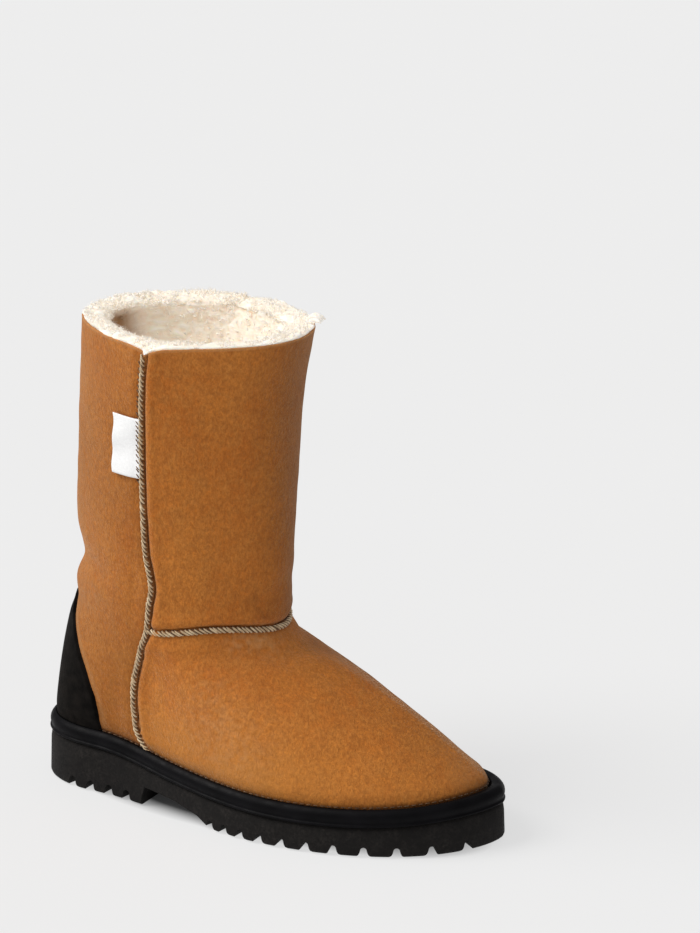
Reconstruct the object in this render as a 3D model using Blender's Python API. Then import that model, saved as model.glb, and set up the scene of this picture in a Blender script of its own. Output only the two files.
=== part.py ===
"""Sheepskin boot for the right foot, with its suede outside and its fleece inside.

Metres. +X points to the toe, +Y to the inner side of the foot, +Z up, and the sole
stands on z = 0. Every surface follows from two outlines: the rim of the sole and the
rings of the upper, which run from the sole's top up to the collar.
"""
import math

import bmesh
import bpy
import numpy as np

# driving sizes
SOLE_LENGTH = 0.286        # heel to toe over the rim of the midsole
BALL_LATERAL = 0.0620      # sole axis to the rim's outer side at the ball
BALL_MEDIAL = 0.0515       # sole axis to the rim's inner side at the ball
HEEL_WIDTH = 0.0780        # rim's width at the heel
TOE_SWING = 0.0118         # how far the toe tip lies to the inner side of the axis
HEEL_HEIGHT = 0.0287       # top of the outsole under the heel
TREAD_HEIGHT = 0.0170      # top of the outsole under the ball
TOE_HEIGHT = 0.0236        # top of the outsole at the toe tip
TOE_SPRING = 0.0016        # lift of the outsole's underside at the toe tip
ARCH_HEIGHT = 0.0105       # clear height under the arch
HEEL_BREAST = -0.0620      # front of the heel block
TREAD_START = -0.0080      # back of the forefoot tread
SOLE_FLARE = 0.0008        # how far the outsole's foot stands out past the rim
SOLE_STEP = 0.0012         # how far the outsole's top is set back under the rim

FLOOR = 0.0040             # midsole's floor
RIM_HEIGHT = 0.0105        # midsole's bead above the outsole's top
LEDGE = 0.0050             # rim's outer edge to the upper
GROOVE = 0.0026            # width of the groove between bead and upper
INSOLE = 0.0050            # insole's thickness
CLEAR = 0.0003             # gap between neighbouring pieces

NOTCH_WIDTH = 0.0050       # gap between two forefoot lugs at the sole's side
NOTCH_HEIGHT = 0.0055
NOTCH_REACH = 0.0170       # how far a notch runs in from the sole's side
HEEL_NOTCH_WIDTH = 0.0035
HEEL_NOTCH_HEIGHT = 0.0034
CHANNEL_DEPTH = 0.0030     # grooves between the lugs in the middle of the tread
CHANNEL_WIDTH = 0.0045

WALL = 0.0020              # suede's thickness
COLLAR_HEIGHT = 0.2848     # suede's top edge
SEAM_HEIGHT_FRONT = 0.1115 # vamp seam in the middle of the instep
SEAM_HEIGHT_BACK = 0.1130  # the same ring at the back
ANKLE_BACK = -0.1252       # upper's back at the vamp seam
ANKLE_FRONT = 0.0078       # upper's front at the vamp seam
ANKLE_LATERAL = 0.0500     # half widths at the vamp seam
ANKLE_MEDIAL = 0.0480
COLLAR_BACK = -0.1172
COLLAR_FRONT = 0.0202
COLLAR_LATERAL = 0.0640
COLLAR_MEDIAL = 0.0590

FLEECE_SHAFT = 0.0125      # depth of the pile in the shaft
FLEECE_FOOT = 0.0080       # and in the foot, where it is worn down
FLEECE_STAND = 0.0048      # pile standing above the collar's edge
LOCK_LENGTH = 0.0034       # tufts on the pile's rim

SEAM_WIDTH = 0.0046        # raised side seams
SEAM_RISE = 0.0018
VAMP_SEAM_WIDTH = 0.0056   # raised seam across the instep
VAMP_SEAM_RISE = 0.0021
VAMP_ARCH = 0.0040         # how far the vamp seam bows up between a side seam and the front
COUNTER = 0.0015           # thickness of the heel counter
COUNTER_PEAK = 0.1150      # height of its point at the back
LABEL_WIDTH = 0.0190
LABEL_HEIGHT = 0.0360
LABEL_THICKNESS = 0.0008
LABEL_TOP = 0.2420         # height of its upper edge

HALF = SOLE_LENGTH / 2

# Corners per half ring: heel curve, side, toe curve.
HEEL_STEPS, SIDE_STEPS, TOE_STEPS = 6, 8, 9
SIDE = HEEL_STEPS + SIDE_STEPS + TOE_STEPS
RING = 2 * SIDE


# curves
def smooth(knots, values, at):
    """Cubic through the values given at the knots."""
    k, v = np.asarray(knots, float), np.asarray(values, float)
    at = np.clip(np.asarray(at, float), k[0], k[-1])
    slope = np.gradient(v, k, axis=0)
    i = np.clip(np.searchsorted(k, at, side="right") - 1, 0, len(k) - 2)
    span = k[i + 1] - k[i]
    t = (at - k[i]) / span
    if v.ndim > 1:
        span, t = np.asarray(span)[..., None], np.asarray(t)[..., None]
    return ((2 * t ** 3 - 3 * t ** 2 + 1) * v[i] + (t ** 3 - 2 * t ** 2 + t) * span * slope[i]
            + (3 * t ** 2 - 2 * t ** 3) * v[i + 1] + (t ** 3 - t ** 2) * span * slope[i + 1])


def sole_top(x):
    """Height of the outsole's top along the foot."""
    stations = np.array([-1.0, -0.62, -0.30, 0.02, 0.42, 0.75, 1.0]) * HALF
    drop, lift = HEEL_HEIGHT - TREAD_HEIGHT, TOE_HEIGHT - TREAD_HEIGHT
    shares = [(1.0, 0), (0.90, 0), (0.38, 0), (0.10, 0), (0, 0), (0, 0.32), (0, 1.0)]
    return smooth(stations, [TREAD_HEIGHT + a * drop + b * lift for a, b in shares], x)


def sole_bottom(x):
    """Height of the outsole's underside: flat, then the toe spring."""
    start = 0.62 * HALF
    t = np.clip((np.asarray(x, float) - start) / (HALF - start), 0, 1)
    return TOE_SPRING * t ** 2


# A ring's values: back and front are the x of its two ends, the *_at are the x where
# heel curve and toe curve start, the halves are widths from the axis. Corners are closer
# at heel and toe where even is 0, and evenly spaced where it is 1.
KEYS = ("back", "front", "back_z", "front_z", "heel_at", "lateral_at", "medial_at",
        "heel_half", "lateral", "medial", "side_power", "end_power", "toe_power",
        "inner_toe_power", "tip", "follow", "even")


def half_outline(r, outer):
    """One side of a ring from the middle of the heel to the tip of the toe."""
    ball_at = r["lateral_at"] if outer else r["medial_at"]
    ball = r["lateral"] if outer else r["medial"]
    heel = r["heel_half"]
    side, end = 2 / r["side_power"], 2 / r["end_power"]
    toe = 2 / r["toe_power" if outer else "inner_toe_power"]
    fine = 8
    points = []
    for k in range(HEEL_STEPS * fine + 1):
        a = math.pi / 2 * k / (HEEL_STEPS * fine)
        points.append((r["heel_at"] - (r["heel_at"] - r["back"]) * math.cos(a) ** side,
                       heel * math.sin(a) ** end))
    for k in range(1, SIDE_STEPS * fine):
        u = k / (SIDE_STEPS * fine)
        points.append((r["heel_at"] + (ball_at - r["heel_at"]) * u,
                       heel + (ball - heel) * u * u * (3 - 2 * u)))
    for k in range(TOE_STEPS * fine + 1):
        a = math.pi / 2 * k / (TOE_STEPS * fine)
        points.append((ball_at + (r["front"] - ball_at) * math.sin(a) ** side,
                       ball * max(math.cos(a), 0.0) ** toe))
    points = np.array(points)
    run = np.concatenate([[0], np.cumsum(np.linalg.norm(np.diff(points, axis=0), axis=1))])
    at = (1 - r["even"]) * run[::fine] + r["even"] * np.linspace(0, run[-1], SIDE + 1)
    return list(zip(np.interp(at, run, points[:, 0]), np.interp(at, run, points[:, 1])))


def outline(r):
    """Closed ring in plan, from the heel along the outer side to the toe and back."""
    outer = [(x, -y) for x, y in half_outline(r, True)]
    inner = half_outline(r, False)
    plan = np.array(outer + inner[-2:0:-1])
    share = np.clip((plan[:, 0] - r["back"]) / (r["front"] - r["back"]), 0, 1)
    plan[:, 1] += r["tip"] * share ** 2.5
    return plan


def outward(plan):
    """Unit directions square to a plan outline, pointing out."""
    along = np.roll(plan, -1, 0) - np.roll(plan, 1, 0)
    out = np.stack([along[:, 1], -along[:, 0]], 1)
    return out / np.linalg.norm(out, axis=1)[:, None]


# sole outline
SOLE = dict(back=-HALF, front=HALF, back_z=0, front_z=0, heel_at=-0.69 * HALF,
            lateral_at=0.20 * HALF, medial_at=0.335 * HALF, heel_half=HEEL_WIDTH / 2,
            lateral=BALL_LATERAL, medial=BALL_MEDIAL, side_power=2.12, end_power=2.55,
            toe_power=1.78, inner_toe_power=1.55, tip=TOE_SWING, follow=1.0, even=0.0)


def sole_ring(grow, height, base=sole_top):
    """The rim's outline grown by grow, standing height above base."""
    plan = outline(SOLE)
    plan = plan + outward(plan) * grow
    return np.column_stack([plan, base(plan[:, 0]) + height])


# rings of the upper
def foot_start(height):
    """The upper's ring that sits in the midsole, height above the outsole's top."""
    r = dict(SOLE)
    r.update(back=SOLE["back"] + LEDGE, front=SOLE["front"] - LEDGE - 0.0055,
             heel_half=SOLE["heel_half"] - LEDGE, lateral=SOLE["lateral"] - LEDGE,
             medial=SOLE["medial"] - LEDGE)
    r["back_z"] = float(sole_top(r["back"])) + height
    r["front_z"] = float(sole_top(r["front"])) + height
    return r


ANKLE = dict(back=ANKLE_BACK, front=ANKLE_FRONT, back_z=SEAM_HEIGHT_BACK,
             front_z=SEAM_HEIGHT_FRONT, side_power=1.45, end_power=2.1, toe_power=1.9,
             inner_toe_power=1.9, tip=0.0, follow=0.0, even=1.0,
             heel_at=0.56 * ANKLE_BACK + 0.44 * ANKLE_FRONT,
             lateral_at=0.40 * ANKLE_BACK + 0.60 * ANKLE_FRONT,
             medial_at=0.40 * ANKLE_BACK + 0.60 * ANKLE_FRONT,
             heel_half=0.97 * (ANKLE_LATERAL + ANKLE_MEDIAL) / 2,
             lateral=ANKLE_LATERAL, medial=ANKLE_MEDIAL)
COLLAR = dict(ANKLE, back=COLLAR_BACK, front=COLLAR_FRONT, back_z=COLLAR_HEIGHT,
              front_z=COLLAR_HEIGHT, side_power=1.30, end_power=2.15, toe_power=2.35,
              inner_toe_power=2.35,
              heel_at=0.52 * COLLAR_BACK + 0.48 * COLLAR_FRONT,
              lateral_at=0.46 * COLLAR_BACK + 0.54 * COLLAR_FRONT,
              medial_at=0.46 * COLLAR_BACK + 0.54 * COLLAR_FRONT,
              heel_half=0.995 * (COLLAR_LATERAL + COLLAR_MEDIAL) / 2,
              lateral=COLLAR_LATERAL, medial=COLLAR_MEDIAL)

# Foot rings: shares of the way from the midsole's bead to the vamp seam; point makes the
# ring's front narrower, which rounds the instep.
FOOT_COLUMNS = ("run", "rise", "back_run", "back_rise", "heel", "lateral", "medial", "station", "point")
FOOT_ROWS = (
    (0.008, 0.038, -0.02, 0.060, 0.05, -0.06, -0.05, 0.04, 0.02),
    (0.044, 0.100, 0.02, 0.130, 0.14, -0.06, -0.03, 0.10, 0.08),
    (0.119, 0.200, 0.09, 0.215, 0.27, 0.03, 0.07, 0.19, 0.20),
    (0.297, 0.392, 0.17, 0.335, 0.42, 0.24, 0.28, 0.36, 0.38),
    (0.507, 0.592, 0.28, 0.485, 0.58, 0.52, 0.56, 0.56, 0.48),
    (0.739, 0.762, 0.45, 0.660, 0.75, 0.82, 0.84, 0.76, 0.44),
    (0.915, 0.858, 0.70, 0.850, 0.90, 0.97, 0.98, 0.92, 0.24),
)
# Shaft rings: shares of the way from the vamp seam to the collar; dip pulls the back in.
SHAFT_COLUMNS = ("rise", "front", "back", "side", "dip")
SHAFT_ROWS = (
    (0.075, 0.06, 0.05, 0.02, -0.0012),
    (0.150, 0.11, 0.16, 0.05, 0.0035),
    (0.215, 0.14, 0.20, 0.10, 0.0030),
    (0.290, 0.17, 0.20, 0.18, 0.000),
    (0.440, 0.24, 0.25, 0.38, 0.000),
    (0.630, 0.32, 0.50, 0.62, 0.000),
    (0.820, 0.52, 0.78, 0.84, 0.000),
    (0.930, 0.80, 0.93, 0.95, 0.000),
)


def blend(a, b, shares):
    return {key: a[key] + (b[key] - a[key]) * shares.get(key, shares["rest"]) for key in KEYS}


def upper_rows():
    """All ring values from the midsole's floor to the collar."""
    rows = [foot_start(FLOOR + 2 * CLEAR), foot_start(RIM_HEIGHT)]
    for row in FOOT_ROWS:
        s = dict(zip(FOOT_COLUMNS, row))
        rows.append(blend(rows[1], ANKLE, dict(
            front=s["run"], front_z=s["rise"], back=s["back_run"], back_z=s["back_rise"],
            heel_half=s["heel"], lateral=s["lateral"], medial=s["medial"], tip=s["run"] ** 0.8,
            follow=min(1.0, 1.6 * s["back_rise"]), rest=s["station"])))
        rows[-1]["toe_power"] -= s["point"]
        rows[-1]["inner_toe_power"] -= s["point"]
    rows.append(dict(ANKLE))
    for row in SHAFT_ROWS:
        s = dict(zip(SHAFT_COLUMNS, row))
        ring = blend(ANKLE, COLLAR, dict(
            front=s["front"], back=s["back"], back_z=s["rise"], front_z=s["rise"],
            rest=s["side"]))
        ring["back"] += s["dip"]
        rows.append(ring)
    rows.append(dict(COLLAR))
    return rows


ROWS = upper_rows()
TABLE = np.array([[r[key] for key in KEYS] for r in ROWS])
RIM_LEVEL = 1.0
VAMP_LEVEL = float(2 + len(FOOT_ROWS))
TOP_LEVEL = float(len(ROWS) - 1)


def ring_points(level):
    """The upper's outer ring at a level: a row number, or a share between two rows."""
    r = dict(zip(KEYS, smooth(range(len(ROWS)), TABLE, level)))
    plan = outline(r)
    share = np.clip((plan[:, 0] - r["back"]) / (r["front"] - r["back"]), 0, 1)
    straight = r["back_z"] + (r["front_z"] - r["back_z"]) * share
    chord = sole_top(r["back"]) + (sole_top(r["front"]) - sole_top(r["back"])) * share
    return np.column_stack([plan, straight + r["follow"] * (sole_top(plan[:, 0]) - chord)])


LEVELS = [0.0, 1.0, 2.0, 3.0, 4.0, 4.5, 5.0, 5.5, 6.0, 7.0, 8.0, 8.5]
LEVELS += [float(k) for k in range(int(VAMP_LEVEL), len(ROWS))]
LEVELS = np.array(LEVELS)
GRID = np.array([ring_points(level) for level in LEVELS])


def grid_normals(grid):
    """Unit directions out of the upper at every grid point."""
    along = np.roll(grid, -1, 1) - np.roll(grid, 1, 1)
    up = np.gradient(grid, axis=0)
    n = np.cross(along, up)
    n[0, :, 2] = n[-1, :, 2] = 0.0
    return n / np.linalg.norm(n, axis=2)[:, :, None]


NORMALS = grid_normals(GRID)


def skin(level, corner, out=0.0):
    """A point on the upper's facets at a level and a corner number, both also between two."""
    i = float(np.interp(level, LEVELS, range(len(LEVELS))))
    i0 = min(int(i), len(LEVELS) - 2)
    j0 = int(math.floor(corner))
    a, b = i - i0, corner - j0
    near, far = j0 % RING, (j0 + 1) % RING
    if b >= a:
        parts = ((i0, near, 1 - b), (i0, far, b - a), (i0 + 1, far, a))
    else:
        parts = ((i0, near, 1 - a), (i0 + 1, near, a - b), (i0 + 1, far, b))
    point = sum(GRID[r, c] * w for r, c, w in parts)
    normal = sum(NORMALS[r, c] * w for r, c, w in parts)
    return point + normal / np.linalg.norm(normal) * out


def skin_ring(level, out=0.0):
    return np.array([skin(level, j, out) for j in range(RING)])


def corner_at(level, x, outer=True):
    """Corner number where the ring at a level passes a given x on one side."""
    ring = np.array([skin(level, j) for j in range(RING)])
    if outer:
        return float(np.interp(x, ring[:SIDE + 1, 0], range(SIDE + 1)))
    back = np.vstack([ring[SIDE:], ring[:1]])[::-1]
    return float(RING - np.interp(x, back[:, 0], range(SIDE + 1)))


def level_at(z, corner):
    """Level where the upper's surface at a corner reaches a height."""
    heights = [skin(level, corner)[2] for level in LEVELS]
    return float(np.interp(z, heights, LEVELS))


def shifted(level, corner, distance):
    """Corner number that lies a distance further along the ring."""
    numbers = np.concatenate([np.arange(math.floor(corner) - 4, corner), [corner],
                              np.arange(math.ceil(corner + 1e-6), math.ceil(corner) + 5)])
    points = np.array([skin(level, n) for n in numbers])
    run = np.concatenate([[0], np.cumsum(np.linalg.norm(np.diff(points, axis=0), axis=1))])
    run -= run[int(np.argmin(abs(numbers - corner)))]
    return float(np.interp(distance, run, numbers))


# meshes
def strip(low, high, down=False):
    """Triangles between two rings of corner numbers, split along the same slant up or down."""
    n = len(low)
    faces = []
    for j in range(n):
        k = (j + 1) % n
        if down:
            faces += [(low[j], low[k], high[j]), (low[k], high[k], high[j])]
        else:
            faces += [(low[j], low[k], high[k]), (low[j], high[k], high[j])]
    return faces


def cap(ring, up):
    """Closes a foot-shaped ring with strips from side to side."""
    half = len(ring) // 2
    faces = []
    for j in range(half):
        a, b = ring[j], ring[j + 1]
        c, d = ring[-(j + 1)], ring[-j] if j else ring[0]
        if j + 1 == half:
            quad = [(a, b, d)]
        elif j == 0:
            quad = [(a, b, c)]
        else:
            quad = [(a, b, c), (a, c, d)]
        faces += quad if up else [face[::-1] for face in quad]
    return faces


def numbered(rings):
    start, ids = 0, []
    for ring in rings:
        ids.append(list(range(start, start + len(ring))))
        start += len(ring)
    return ids


def lofted(rings, turn=99):
    """Vertices and faces of a solid through rings, closed at both ends; from turn they run down."""
    ids = numbered(rings)
    faces = cap(ids[0], up=False)
    for n, (low, high) in enumerate(zip(ids, ids[1:])):
        faces += strip(low, high, down=n + 1 >= turn)
    return np.vstack(rings), faces + cap(ids[-1], up=True)


def looped(rings, turn):
    """Vertices and faces of a hollow solid: rings run up outside and, from turn, down inside."""
    ids = numbered(rings)
    faces = []
    for n, (low, high) in enumerate(zip(ids, ids[1:] + ids[:1])):
        faces += strip(low, high, down=n + 1 >= turn)
    return np.vstack(rings), faces


def bar(sections):
    """Vertices and faces of a bar through small sections with flat ends."""
    ids = numbered(sections)
    faces = []
    for near, far in zip(ids, ids[1:]):
        faces += strip(near, far)
    first, last = ids[0], ids[-1]
    faces += [(first[0], first[j + 1], first[j]) for j in range(1, len(first) - 1)]
    faces += [(last[0], last[j], last[j + 1]) for j in range(1, len(last) - 1)]
    return np.vstack(sections), faces


def prism(profile, reach):
    """A closed outline in the x-z plane, drawn out to both sides."""
    return bar([[(x, y, z) for x, z in profile] for y in (-reach, reach)])


def sheet(grid_out, grid_in):
    """Vertices and faces of a thin plate between an outer and an inner grid."""
    rows, columns = grid_out.shape[:2]
    size = rows * columns
    index = np.arange(size).reshape(rows, columns)
    faces = []
    for i in range(rows - 1):
        for j in range(columns - 1):
            a, b, c, d = index[i, j], index[i, j + 1], index[i + 1, j + 1], index[i + 1, j]
            faces += [(a, b, c), (a, c, d)]
            faces += [(c + size, b + size, a + size), (d + size, c + size, a + size)]
    edge = ([index[0, j] for j in range(columns)] + [index[i, -1] for i in range(1, rows)]
            + [index[-1, j] for j in range(columns - 2, -1, -1)]
            + [index[i, 0] for i in range(rows - 2, 0, -1)])
    for a, b in zip(edge, edge[1:] + edge[:1]):
        faces += [(b, a, a + size), (b, a + size, b + size)]
    return np.vstack([grid_out.reshape(-1, 3), grid_in.reshape(-1, 3)]), faces


# scene
for old in list(bpy.data.objects):
    bpy.data.objects.remove(old, do_unlink=True)
boot = bpy.data.collections.new("sheepskin_boot")
cutters = bpy.data.collections.new("cutters")
bpy.context.scene.collection.children.link(boot)
bpy.context.scene.collection.children.link(cutters)


def material(name, colour, roughness):
    m = bpy.data.materials.new(name)
    m.use_nodes = True
    shader = m.node_tree.nodes["Principled BSDF"]
    shader.inputs["Base Color"].default_value = (*colour, 1.0)
    shader.inputs["Roughness"].default_value = roughness
    shader.inputs["Metallic"].default_value = 0.0
    return m


def mesh_object(name, vertices, faces, look=None, collection=None):
    mesh = bpy.data.meshes.new(name)
    mesh.from_pydata([tuple(map(float, v)) for v in vertices], [],
                     [tuple(int(i) for i in f) for f in faces])
    mesh.validate()
    if look:
        mesh.materials.append(look)
        mesh.shade_smooth()
        mesh.set_sharp_from_angle(angle=math.radians(38))
    obj = bpy.data.objects.new(name, mesh)
    (collection or boot).objects.link(obj)
    return obj


suede = material("tan_suede", (0.43, 0.16, 0.04), 0.90)
counter_suede = material("black_suede", (0.010, 0.009, 0.009), 0.92)
fleece = material("cream_fleece", (0.80, 0.70, 0.56), 0.95)
thread = material("beige_thread", (0.40, 0.27, 0.15), 0.80)
rim_rubber = material("rim_rubber", (0.012, 0.012, 0.017), 0.45)
tread_rubber = material("tread_rubber", (0.016, 0.015, 0.015), 0.80)
felt = material("insole_fleece", (0.72, 0.62, 0.48), 0.95)
tape = material("white_label", (0.80, 0.79, 0.77), 0.75)


# outsole
def sole_station(side, share):
    """Place and outward direction on the rim: share runs from the heel to the toe tip."""
    plan = outline(SOLE)
    half = plan[:SIDE + 1] if side == "lateral" else np.vstack([plan[SIDE:], plan[:1]])[::-1]
    run = np.concatenate([[0], np.cumsum(np.linalg.norm(np.diff(half, axis=0), axis=1))])
    at = share * run[-1]
    x, y = np.interp(at, run, half[:, 0]), np.interp(at, run, half[:, 1])
    ahead = min(at + 0.004, run[-1]), max(at - 0.004, 0.0)
    dx = np.interp(ahead[0], run, half[:, 0]) - np.interp(ahead[1], run, half[:, 0])
    dy = np.interp(ahead[0], run, half[:, 1]) - np.interp(ahead[1], run, half[:, 1])
    sign = 1 if side == "lateral" else -1
    out = np.array([dy, -dx]) * sign
    return np.array([x, y]), out / np.linalg.norm(out)


def notch(spot, out, width, reach, height, spread=0.0):
    """Corners of a block that cuts one gap in from the sole's side."""
    across = np.array([-out[1], out[0]])
    corners = []
    for z in (-0.004, height):
        for depth, half in ((0.006, width / 2 + spread), (-reach, width / 2)):
            for sign in ((-1, 1) if depth > 0 else (1, -1)):
                p = spot + out * depth + across * sign * half
                corners.append((p[0], p[1], z))
    return corners


def block_faces(start):
    quads = [(3, 2, 1, 0), (4, 5, 6, 7), (0, 1, 5, 4), (1, 2, 6, 5), (2, 3, 7, 6), (3, 0, 4, 7)]
    return [tuple(start + i for i in quad) for quad in quads]


# Where the gaps lie, as shares of the rim's half length from heel to toe tip: the forefoot
# gaps start close together behind the ball and spread towards the toe.
HEEL_GAPS = 4
HEEL_GAP_RANGE = (0.153, 0.268)
TREAD_GAPS = 11
TREAD_GAP_START, TREAD_GAP_PITCH, TREAD_GAP_GROWTH = 0.462, 0.028, 0.0018


outsole_rings = [
    sole_ring(SOLE_FLARE - 0.0014, 0.0, sole_bottom),
    sole_ring(SOLE_FLARE, 0.0016, sole_bottom),
    sole_ring(0.0004, -0.0022),
    sole_ring(-SOLE_STEP, 0.0),
]
outsole = mesh_object("outsole", *lofted(outsole_rings), tread_rubber)

corners, faces = [], []
for side in ("lateral", "medial"):
    for k in range(HEEL_GAPS):
        spot, out = sole_station(side, np.interp(k, (0, HEEL_GAPS - 1), HEEL_GAP_RANGE))
        faces += block_faces(len(corners))
        corners += notch(spot, out, HEEL_NOTCH_WIDTH, 0.6 * NOTCH_REACH, HEEL_NOTCH_HEIGHT)
    for k in range(TREAD_GAPS):
        share = TREAD_GAP_START + k * TREAD_GAP_PITCH + k * k * TREAD_GAP_GROWTH
        spot, out = sole_station(side, share)
        lift = float(sole_bottom(spot[0]))
        faces += block_faces(len(corners))
        corners += notch(spot, out, NOTCH_WIDTH, NOTCH_REACH, NOTCH_HEIGHT + lift, 0.0006)
gaps = mesh_object("tread_gaps", corners, faces, collection=cutters)

# The arch: a prism across the sole with sloped ends.
arch_profile = [(HEEL_BREAST, -0.01), (HEEL_BREAST, 0.0), (HEEL_BREAST + 0.002, 0.6 * ARCH_HEIGHT),
                (HEEL_BREAST + 0.006, ARCH_HEIGHT), (0.55 * HEEL_BREAST + 0.45 * TREAD_START, ARCH_HEIGHT),
                (TREAD_START - 0.012, 0.62 * ARCH_HEIGHT), (TREAD_START, 0.0), (TREAD_START, -0.01)]
arch = mesh_object("arch_space", *prism(arch_profile, BALL_LATERAL + BALL_MEDIAL), collection=cutters)

# Channels that part the lugs in the middle of the tread, at shares of the half length.
corners, faces = [], []
for x in (0.08, 0.22, 0.52, 0.66):
    half_span = 0.50 * (BALL_LATERAL + BALL_MEDIAL) / 2
    centre = TOE_SWING * ((x + 1) / 2) ** 2.5
    lift = float(sole_bottom(x * HALF))
    faces += block_faces(len(corners))
    corners += [(x * HALF + a, centre + b, z) for z in (-0.004, CHANNEL_DEPTH + lift)
                for a, b in ((-CHANNEL_WIDTH / 2, half_span), (-CHANNEL_WIDTH / 2, -half_span),
                             (CHANNEL_WIDTH / 2, -half_span), (CHANNEL_WIDTH / 2, half_span))]
channels = mesh_object("tread_channels", corners, faces, collection=cutters)

for cutter in (arch, gaps, channels):
    cutter.hide_render = True
    cutter.display_type = "WIRE"
    cut = outsole.modifiers.new(cutter.name, "BOOLEAN")
    cut.operation = "DIFFERENCE"
    cut.object = cutter


# midsole
midsole_outer = [
    sole_ring(-SOLE_STEP, CLEAR),
    sole_ring(0.0002, CLEAR + 0.0010),
    sole_ring(-0.0004, CLEAR + 0.0024),
    sole_ring(0.0, 0.55 * RIM_HEIGHT),
    sole_ring(-0.0006, 0.80 * RIM_HEIGHT),
    sole_ring(-0.0018, 0.96 * RIM_HEIGHT),
]
midsole_inner = [
    skin_ring(RIM_LEVEL, GROOVE),
    skin_ring(0.35 * RIM_LEVEL, GROOVE - 0.0002),
    skin_ring(0.0, CLEAR),
]
for ring in midsole_inner[:1]:
    ring[:, 2] = sole_top(ring[:, 0]) + 0.93 * RIM_HEIGHT
floor_ring = midsole_inner[-1]
floor_ring[:, 2] = sole_top(floor_ring[:, 0]) + CLEAR + FLOOR
midsole = mesh_object("midsole", *lofted(midsole_outer + midsole_inner, len(midsole_outer)), rim_rubber)


# upper
outer_skin = [GRID[i] for i in range(len(LEVELS))]
inner_skin = [GRID[i] - NORMALS[i] * WALL for i in range(len(LEVELS))]
upper = mesh_object("upper", *looped(outer_skin + inner_skin[::-1], len(outer_skin)), suede)


# insole
insole_low = skin_ring(0.0, -WALL - CLEAR)
insole_low[:, 2] = sole_top(insole_low[:, 0]) + FLOOR + 2 * CLEAR
insole_high = insole_low.copy()
insole_high[:, 2] += INSOLE
insole = mesh_object("insole", *lofted([insole_low, insole_high]), felt)


# fleece lining
def pile(level):
    """Depth of the fleece: thin in the foot, full in the shaft."""
    return float(np.interp(level, (0, VAMP_LEVEL - 3, VAMP_LEVEL + 3, TOP_LEVEL),
                           (FLEECE_FOOT, FLEECE_FOOT, FLEECE_SHAFT, FLEECE_SHAFT)))


def lumps(count, phase, ring_number):
    """Slow waves around the collar that make the pile's edge uneven."""
    a = np.linspace(0, 2 * math.pi, RING, endpoint=False)
    return (0.5 * np.sin(count * a + phase) + 0.3 * np.sin((count + 6) * a - 1.7 * phase)
            + 0.2 * np.sin((2 * count + 5) * a + ring_number))


lining_bottom = FLOOR + INSOLE + 3 * CLEAR
outside = [skin_ring(level, -WALL - CLEAR) for level in LEVELS[1:]]
outside[0] = skin_ring(RIM_LEVEL, -WALL - CLEAR)
outside[0][:, 2] = sole_top(outside[0][:, 0]) + lining_bottom
inside_levels = [TOP_LEVEL, TOP_LEVEL - 1, TOP_LEVEL - 3, VAMP_LEVEL + 4, VAMP_LEVEL + 2,
                 VAMP_LEVEL, VAMP_LEVEL - 1, VAMP_LEVEL - 2, VAMP_LEVEL - 3.5, VAMP_LEVEL - 5, 2.4]
inside = []
for n, level in enumerate(inside_levels):
    ring = skin_ring(level, -WALL - CLEAR - pile(level))
    if level > VAMP_LEVEL:
        ring += (ring - skin_ring(level)) * (0.08 * lumps(9, 1.3 * n, n))[:, None]
    inside.append(ring)
last = skin_ring(1.6, -WALL - CLEAR - pile(1))
last[:, 2] = sole_top(last[:, 0]) + lining_bottom
inside.append(last)

# The rim of the pile: rounded, standing over the suede's edge.
rim = []
for n, (across, height) in enumerate(((-0.06, 0.42), (0.16, 0.86), (0.50, 1.0), (0.86, 0.62))):
    ring = skin_ring(TOP_LEVEL, -WALL - CLEAR - max(across, 0.0) * FLEECE_SHAFT)
    wave = lumps(8, 0.9 * n, n)
    ring += (skin_ring(TOP_LEVEL, 0.0) - ring) * (0.10 * wave)[:, None] * (across > 0)
    ring[:, 2] += FLEECE_STAND * height * (1 + 0.22 * lumps(7, 0.5 * n + 1, n))
    rim.append(ring)
lining_vertices, lining_faces = looped(outside + rim + inside, len(outside))
lining = mesh_object("fleece_lining", lining_vertices, lining_faces, fleece)

# Tufts: faces of the rim and of the upper inside are drawn out to points.
tufted = bmesh.new()
tufted.from_mesh(lining.data)
tufted.faces.ensure_lookup_table()
first = 2 * RING * len(outside)
chosen = []
for ring_number in range(0, 5):
    for j in range(RING):
        if (3 * j + 5 * ring_number) % 7 == 0:
            chosen.append(tufted.faces[first + 2 * (ring_number * RING + j)])
for number, face in enumerate(chosen):
    centre, normal = face.calc_center_median(), face.normal.copy()
    point = bmesh.ops.poke(tufted, faces=[face])["verts"][0]
    point.co = centre + normal * LOCK_LENGTH * (0.7 + 0.3 * math.sin(2.1 * number))
tufted.to_mesh(lining.data)
tufted.free()
lining.data.shade_smooth()


# raised seams
# Where the side seams run. Columns: level, x as a share of the ring from back to front.
SIDE_SEAM_ROWS = ((0.6, 0.288), (1.5, 0.274), (3.5, 0.263), (5.0, 0.290), (6.0, 0.330), (7.5, 0.438),
                  (VAMP_LEVEL, 0.532), (VAMP_LEVEL + 1.5, 0.543), (VAMP_LEVEL + 3.5, 0.528),
                  (VAMP_LEVEL + 6, 0.523), (TOP_LEVEL, 0.521))


def side_seam_corner(level, outer):
    share = float(smooth([r[0] for r in SIDE_SEAM_ROWS], [r[1] for r in SIDE_SEAM_ROWS], level))
    ring = skin_ring(level)
    back, front = ring[0, 0], ring[SIDE, 0]
    return corner_at(level, back + share * (front - back), outer)


ROUND = ((-1.0, 0.0), (-0.82, 0.62), (0.0, 1.0), (0.82, 0.62), (1.0, 0.0))


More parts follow.
